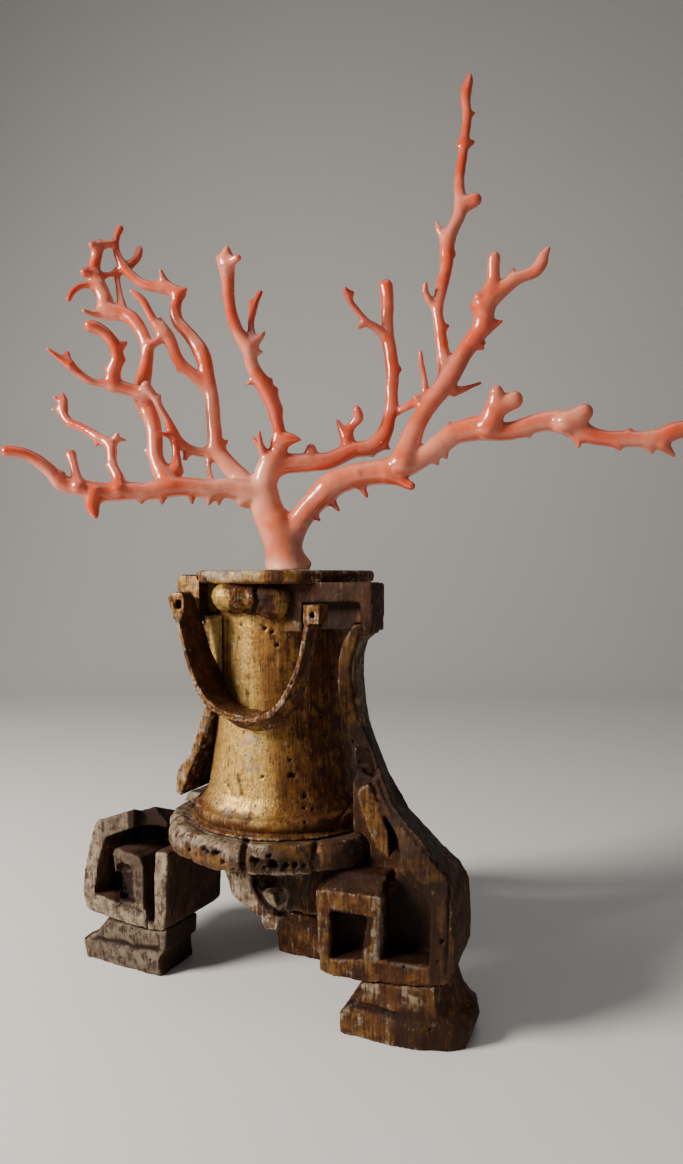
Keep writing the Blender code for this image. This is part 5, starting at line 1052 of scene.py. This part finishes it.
def dug_spots(node):
    """Column, row, radius, depth and painted shade of a piece's holes, lobes and cracks."""
    spots = [(column, row, HOLE_WIDTH * radius, HOLE_DEPTH * radius, HOLE_SHADE)
             for column, row, radius in HOLES.get(node, ())]
    spots += [(column, row, radius, -height, 0.0) for column, row, radius, height in LOBES.get(node, ())]
    for width, line in CRACKS.get(node, ()):
        spots += crack_spots(width, line)
    return spots


def dig(node, mesh, points):
    """Holes, cracks and low lobes of a piece: moved points, and the shade painted into the holes and
    cracks.
    """
    normals = mesh_normals(mesh)
    faces = [tuple(face.vertices) for face in mesh.polygons]
    tree = BVHTree.FromPolygons(points.tolist(), faces)
    dirt_and_shade = np.zeros(len(points))
    sunk = np.zeros(len(points))
    for column, row, radius, depth, shade_blackness in dug_spots(node):
        hit = tree.ray_cast(Vector(EYE), Vector(sight_line(column, row)))[0]
        if hit is None:
            continue
        away = np.linalg.norm(points - np.array(hit), axis=1)
        if depth < 0:
            sunk = np.minimum(sunk, depth * smoothstep(radius, LOBE_TOP * radius, away))
            continue
        sunk = np.maximum(sunk, depth * smoothstep(HOLE_RIM * radius, HOLE_FLOOR * radius, away))
        # Painted shade inside the hole or crack.
        dirt_and_shade = np.maximum(dirt_and_shade, shade_blackness * smoothstep(SHADE_RIM * radius, SHADE_FLOOR * radius, away))
    return points - normals * sunk[:, None], dirt_and_shade


def fill_out(node, points, normals):
    """Points moved where SWELLINGS says that the piece reaches closer to its neighbour."""
    for turn, centre, radii, way, distance in SWELLINGS.get(node, ()):
        spot = stand_spot(*centre, turn)
        towards = stand_spot(*way, turn)
        axes = [stand_spot(*axis, turn) for axis in np.eye(3)]
        away = np.sqrt(sum((((points - spot) @ axis) / radius) ** 2 for axis, radius in zip(axes, radii)))
        share = smoothstep(*SWELLING_BORDER, away) * smoothstep(*SWELLING_FACING, normals @ towards)
        points = points + distance * share[:, None] * towards
    return points


def edge_relief(edges, points, normals):
    """How far each vertex stands out from its surroundings, in millimetres: less than 0 in hollows."""
    wide = smoothed(edges, points, WIDE_ROUNDS)
    relief = ((points - wide) * normals).sum(1)
    return smoothed(edges, relief[:, None], RELIEF_ROUNDS)[:, 0]


def weathered(node, step, lumps, grain, chips, seed):
    """Fine copy of a piece of the stand, worn, chipped, grained and holed."""
    piece = fine_copy(node, step)
    mesh = piece.data
    points = mesh_points(mesh)
    low, high = points.min(0), points.max(0)
    edges = mesh_edges(mesh)
    points = smoothed(edges, points, *STAND_SMOOTHING)
    set_points(mesh, points)
    points = fill_out(node, points, mesh_normals(mesh))
    set_points(mesh, points)
    low, high = np.minimum(low, points.min(0)), np.maximum(high, points.max(0))
    normals = mesh_normals(mesh)
    relief = edge_relief(edges, points, normals)
    chip = smoothstep(*CHIP_NOISE, noise(points, CHIP_SIZE, seed + CHIP_SEED))
    chip = chip * smoothstep(*CHIP_RELIEF, relief)
    height = lumps * noise(points, LUMP_SIZE, seed)
    height += SMALL_LUMP_SHARE * lumps * noise(points, SMALL_LUMP_SIZE, seed + SMALL_LUMP_SEED)
    height += grain * noise(points, GRAIN_SIZE, seed + GRAIN_SEED)
    height -= chips * chip
    points = points + normals * height[:, None]
    set_points(mesh, points)
    for name, values in paint(node, points, normals).items():
        store(mesh, name, values)
    points, pit_shades = dig(node, mesh, points)
    # Only swellings stand proud of the piece's box before it was worn.
    points = np.clip(points, low, high)
    set_points(mesh, points)
    store(mesh, "ridge", smoothstep(*WORN_RELIEF, relief))
    store(mesh, "hollow", smoothstep(*WORN_RELIEF, -relief))
    store(mesh, "chip", chip)
    store(mesh, "pit_shade", pit_shades)
    return piece


class Graph:
    """Short way to build a material's nodes."""

    def __init__(self, name):
        self.material = bpy.data.materials.new(name)
        self.material.use_nodes = True
        self.tree = self.material.node_tree
        self.shader = self.tree.nodes["Principled BSDF"]
        self.where = self.add("ShaderNodeTexCoord").outputs["Object"]

    def add(self, kind, **values):
        node = self.tree.nodes.new(kind)
        for key, value in values.items():
            setattr(node, key, value)
        return node

    def put(self, socket, value):
        """Link a node's output to a socket, or give the socket a plain value."""
        if isinstance(value, bpy.types.NodeSocket):
            self.tree.links.new(value, socket)
        else:
            socket.default_value = value

    def give(self, name, value):
        self.put(self.shader.inputs[name], value)

    def noise(self, scale, detail=3.0, rough=0.55, stretch=None):
        where = self.where
        if stretch:
            mapping = self.add("ShaderNodeMapping")
            self.put(mapping.inputs["Vector"], where)
            mapping.inputs["Scale"].default_value = stretch
            where = mapping.outputs["Vector"]
        node = self.add("ShaderNodeTexNoise")
        self.put(node.inputs["Vector"], where)
        node.inputs["Scale"].default_value = scale
        node.inputs["Detail"].default_value = detail
        node.inputs["Roughness"].default_value = rough
        return node.outputs["Fac"]

    def ramp(self, value, low, high, start=0.0, end=1.0):
        node = self.add("ShaderNodeMapRange", interpolation_type="SMOOTHSTEP")
        self.put(node.inputs["Value"], value)
        for name, number in (("From Min", low), ("From Max", high), ("To Min", start), ("To Max", end)):
            node.inputs[name].default_value = number
        return node.outputs["Result"]

    def maths(self, operation, first, second):
        node = self.add("ShaderNodeMath", operation=operation)
        self.put(node.inputs[0], first)
        self.put(node.inputs[1], second)
        return node.outputs["Value"]

    def times(self, first, second):
        return self.maths("MULTIPLY", first, second)

    def plus(self, first, second):
        return self.maths("ADD", first, second)

    def minus(self, first, second):
        return self.maths("SUBTRACT", first, second)

    def larger(self, first, second):
        return self.maths("MAXIMUM", first, second)

    def mix(self, share, first, second):
        node = self.add("ShaderNodeMix", data_type="RGBA")
        self.put(node.inputs["Factor"], share)
        for socket, value in ((node.inputs["A"], first), (node.inputs["B"], second)):
            self.put(socket, (*value, 1.0) if isinstance(value, tuple) else value)
        return node.outputs["Result"]

    def attribute(self, name):
        return self.add("ShaderNodeAttribute", attribute_name=name).outputs["Fac"]

    def bump(self, height, distance, strength):
        node = self.add("ShaderNodeBump")
        self.put(node.inputs["Height"], height)
        node.inputs["Distance"].default_value = distance
        node.inputs["Strength"].default_value = strength
        self.give("Normal", node.outputs["Normal"])


def coral_material():
    """Polished coral: salmon where thick, deep red where thin, with pale patches, a pale foot and a pale
    spot where the left arm leaves the trunk, partly a painted highlight.
    """
    g = Graph("polished_coral")
    thick = g.ramp(g.attribute("girth"), 1.5, 8.0)
    patches = g.ramp(g.noise(38.0, 2.0), 0.38, 0.66)
    cloud = g.ramp(g.noise(150.0, 3.0), 0.4, 0.7)
    colour = g.mix(thick, DEEP_CORAL, SALMON)
    colour = g.mix(g.times(patches, 0.42), colour, PALE_CORAL)
    colour = g.mix(g.times(cloud, 0.25), colour, DEEP_CORAL)
    colour = g.mix(g.attribute("bleached_and_highlit"), colour, BLEACHED_AND_HIGHLIT_CORAL)
    g.give("Base Color", colour)
    g.give("Roughness", g.ramp(g.noise(420.0, 3.0), 0.3, 0.7, 0.16, 0.28))
    g.give("Subsurface Weight", 0.12)
    g.give("Subsurface Radius", (1.0, 0.3, 0.15))
    g.give("Subsurface Scale", 0.002)
    g.give("Coat Weight", 0.7)
    g.give("Coat Roughness", 0.05)
    g.bump(g.noise(900.0, 4.0), 0.00010, 0.5)
    return g.material


def gilded_share(g, seed, streaks):
    """Where gold leaf is left: less in streaks and blots, more where the vertices' leaf share is high; that
    share also carries painted highlights, and painted shade where lowered.
    """
    blots = g.ramp(g.noise(170.0 + seed, 7.0, 0.72), 0.28, 0.72)
    worn = g.plus(g.times(streaks, 0.4), g.times(blots, 0.6))
    kept = g.plus(g.times(g.attribute("leaf"), 0.38), 0.34)
    return g.ramp(g.minus(kept, worn), -0.30, 0.26)


def bare_share(g, streaks):
    """Where bare gesso shows: on rubbed edges, in flecks and in chips."""
    rubbed = g.plus(g.attribute("pale"), g.times(g.attribute("ridge"), 0.40))
    rubbed = g.plus(g.times(rubbed, 0.52), 0.10)
    flecks = g.ramp(g.noise(210.0, 6.0, 0.68), 0.28, 0.72)
    flecks = g.plus(g.times(flecks, 0.65), g.times(streaks, 0.35))
    bare = g.ramp(g.minus(rubbed, flecks), -0.16, 0.16)
    return g.larger(bare, g.times(g.attribute("chip"), 0.55))


def grime_and_shade_share(g, seed):
    """Where the colour goes near black: in hollows, in clouds and specks of dirt, and where the vertices'
    dirt share holds dirt and painted shade.
    """
    grime_and_shade = g.times(g.attribute("hollow"), 0.75)
    grime_and_shade = g.larger(grime_and_shade, g.ramp(g.noise(48.0 + seed, 5.0), 0.56, 0.76, 0.0, 0.55))
    # The vertices' dirt share: real dirt and painted shade.
    grime_and_shade = g.larger(grime_and_shade, g.times(g.attribute("dirt_and_shade"), 0.85))
    return g.larger(grime_and_shade, g.ramp(g.noise(520.0, 3.0), 0.62, 0.70, 0.0, 0.75))


def gold_colour(g, seed):
    """Clouded old gold, with bright leaf where the vertices' leaf share is high, partly a painted
    highlight.
    """
    clouds = g.ramp(g.noise(75.0 + seed, 4.0), 0.35, 0.68)
    patina = g.ramp(g.noise(520.0, 6.0, 0.7), 0.36, 0.58, 0.25, 1.0)
    # Bright leaf where the leaf share is high: partly a painted highlight.
    bright_leaf_and_highlight = g.times(g.ramp(g.attribute("leaf"), 0.45, 1.1, 0.0, 0.95), patina)
    return g.mix(bright_leaf_and_highlight, g.mix(clouds, OLD_GOLD, TARNISHED_GOLD), BRIGHT_LEAF_AND_HIGHLIGHT)


def gilt_material(name, seed, bole_light, bole_dark):
    """Old gilding on wood: gold leaf, brown bole under it, pale gesso on worn edges and grime, with painted
    highlights and painted shade from the vertices' shares, and shade painted into holes and cracks.
    """
    g = Graph(name)
    streaks = g.ramp(g.noise(1.0, 5.0, 0.6, (900.0, 900.0, 60.0)), 0.28, 0.72)
    gilded = gilded_share(g, seed, streaks)
    bare = bare_share(g, streaks)
    grime_and_shade = grime_and_shade_share(g, seed)
    bole = g.mix(g.ramp(g.noise(140.0 + seed, 4.0), 0.3, 0.7), bole_light, bole_dark)
    gesso = g.mix(g.ramp(g.noise(260.0, 4.0), 0.3, 0.7), PALE_GESSO, STAINED_GESSO)
    colour = g.mix(gilded, bole, gold_colour(g, seed))
    colour = g.mix(bare, colour, gesso)
    # Darkened by dirt and by painted shade.
    colour = g.mix(grime_and_shade, colour, GRIME_AND_SHADE)
    # Holes and cracks get painted shade.
    colour = g.mix(g.attribute("pit_shade"), colour, PIT_SHADE_BLACK)
    g.give("Base Color", colour)
    shine = g.times(gilded, g.minus(1.0, bare))
    shine = g.times(shine, g.minus(1.0, grime_and_shade))
    g.give("Metallic", g.times(shine, 0.55))
    g.give("Specular IOR Level", 0.16)
    rough = g.ramp(g.noise(330.0, 4.0), 0.3, 0.7, 0.32, 0.52)
    g.give("Roughness", g.plus(rough, g.times(g.minus(1.0, shine), 0.25)))
    relief = g.plus(g.times(streaks, 0.3), g.noise(420.0, 5.0, 0.65))
    g.bump(relief, 0.00045, 0.6)
    return g.material


def dress(piece, material, slot, *nodes):
    """Give a piece its material and its body, and hide the CAD nodes that it stands for. The slot is not
    used.
    """
    piece.data.materials.clear()
    piece.data.materials.append(material)
    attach(piece, "root")
    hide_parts(*nodes)


def make_stand():
    finishes = {slot: gilt_material(*values) for slot, values in FINISHES.items()}
    for number, (node, (step, lumps, grain, chips, slot)) in enumerate(STAND.items()):
        seed = FIRST_SEED + SEED_STEP * number
        dress(weathered(node, step, lumps, grain, chips, seed), finishes[slot], slot, node)


def pale_floor():
    """Pale floor that sweeps up into a backdrop."""
    rows = [(FLOOR_FRONT, 0.0), (FLOOR_BACK, 0.0)]
    rows += [(FLOOR_BACK + SWEEP * math.sin(a), SWEEP - SWEEP * math.cos(a)) for a in SWEEP_ANGLES]
    rows.append((FLOOR_BACK + SWEEP, BACKDROP_TOP))
    points = [(x, y, z) for y, z in rows for x in (-FLOOR_SIDE, FLOOR_SIDE)]
    faces = [(2 * i, 2 * i + 1, 2 * i + 3, 2 * i + 2) for i in range(len(rows) - 1)]
    mesh = bpy.data.meshes.new("floor")
    mesh.from_pydata(points, [], faces)
    mesh.shade_smooth()
    g = Graph("pale_floor")
    g.give("Base Color", g.mix(g.noise(3.0, 2.0), *FLOOR_COLOURS))
    g.give("Roughness", 0.8)
    mesh.materials.append(g.material)
    add_object("floor", mesh)


def area_light(name, place, size, power, colour):
    """Round lamp that points at the middle of the object."""
    data = bpy.data.lights.new(name, "AREA")
    data.shape = "DISK"
    data.size = size
    data.energy = power
    data.color = colour
    light = add_object(name, data)
    light.location = place
    light.rotation_euler = (Vector(LIT_SPOT) - Vector(place)).to_track_quat("-Z", "Y").to_euler()


def light_room():
    world = bpy.data.worlds.new("soft_room")
    world.use_nodes = True
    background = world.node_tree.nodes["Background"]
    background.inputs["Color"].default_value = ROOM_COLOUR
    background.inputs["Strength"].default_value = ROOM_STRENGTH
    bpy.context.scene.world = world
    for name, values in LAMPS.items():
        area_light(name, *values)


def photo_camera():
    """Camera with the place and lens from which the photograph was taken."""
    data = bpy.data.cameras.new("photo_camera")
    data.sensor_width = SENSOR_WIDTH
    data.lens = FOCAL_PIXELS / PHOTO_HEIGHT * data.sensor_width
    data.shift_y = (HORIZON_ROW - PHOTO_HEIGHT / 2) / PHOTO_HEIGHT
    data.clip_start = 0.01
    camera = add_object("photo_camera", data)
    camera.location = (EYE + AXIS) * MM
    camera.rotation_euler = (math.radians(90), 0, 0)
    bpy.context.scene.camera = camera


photo_camera()
light_room()
pale_floor()
dress(make_coral(), coral_material(), "coral", *CORAL_NODES)
make_stand()
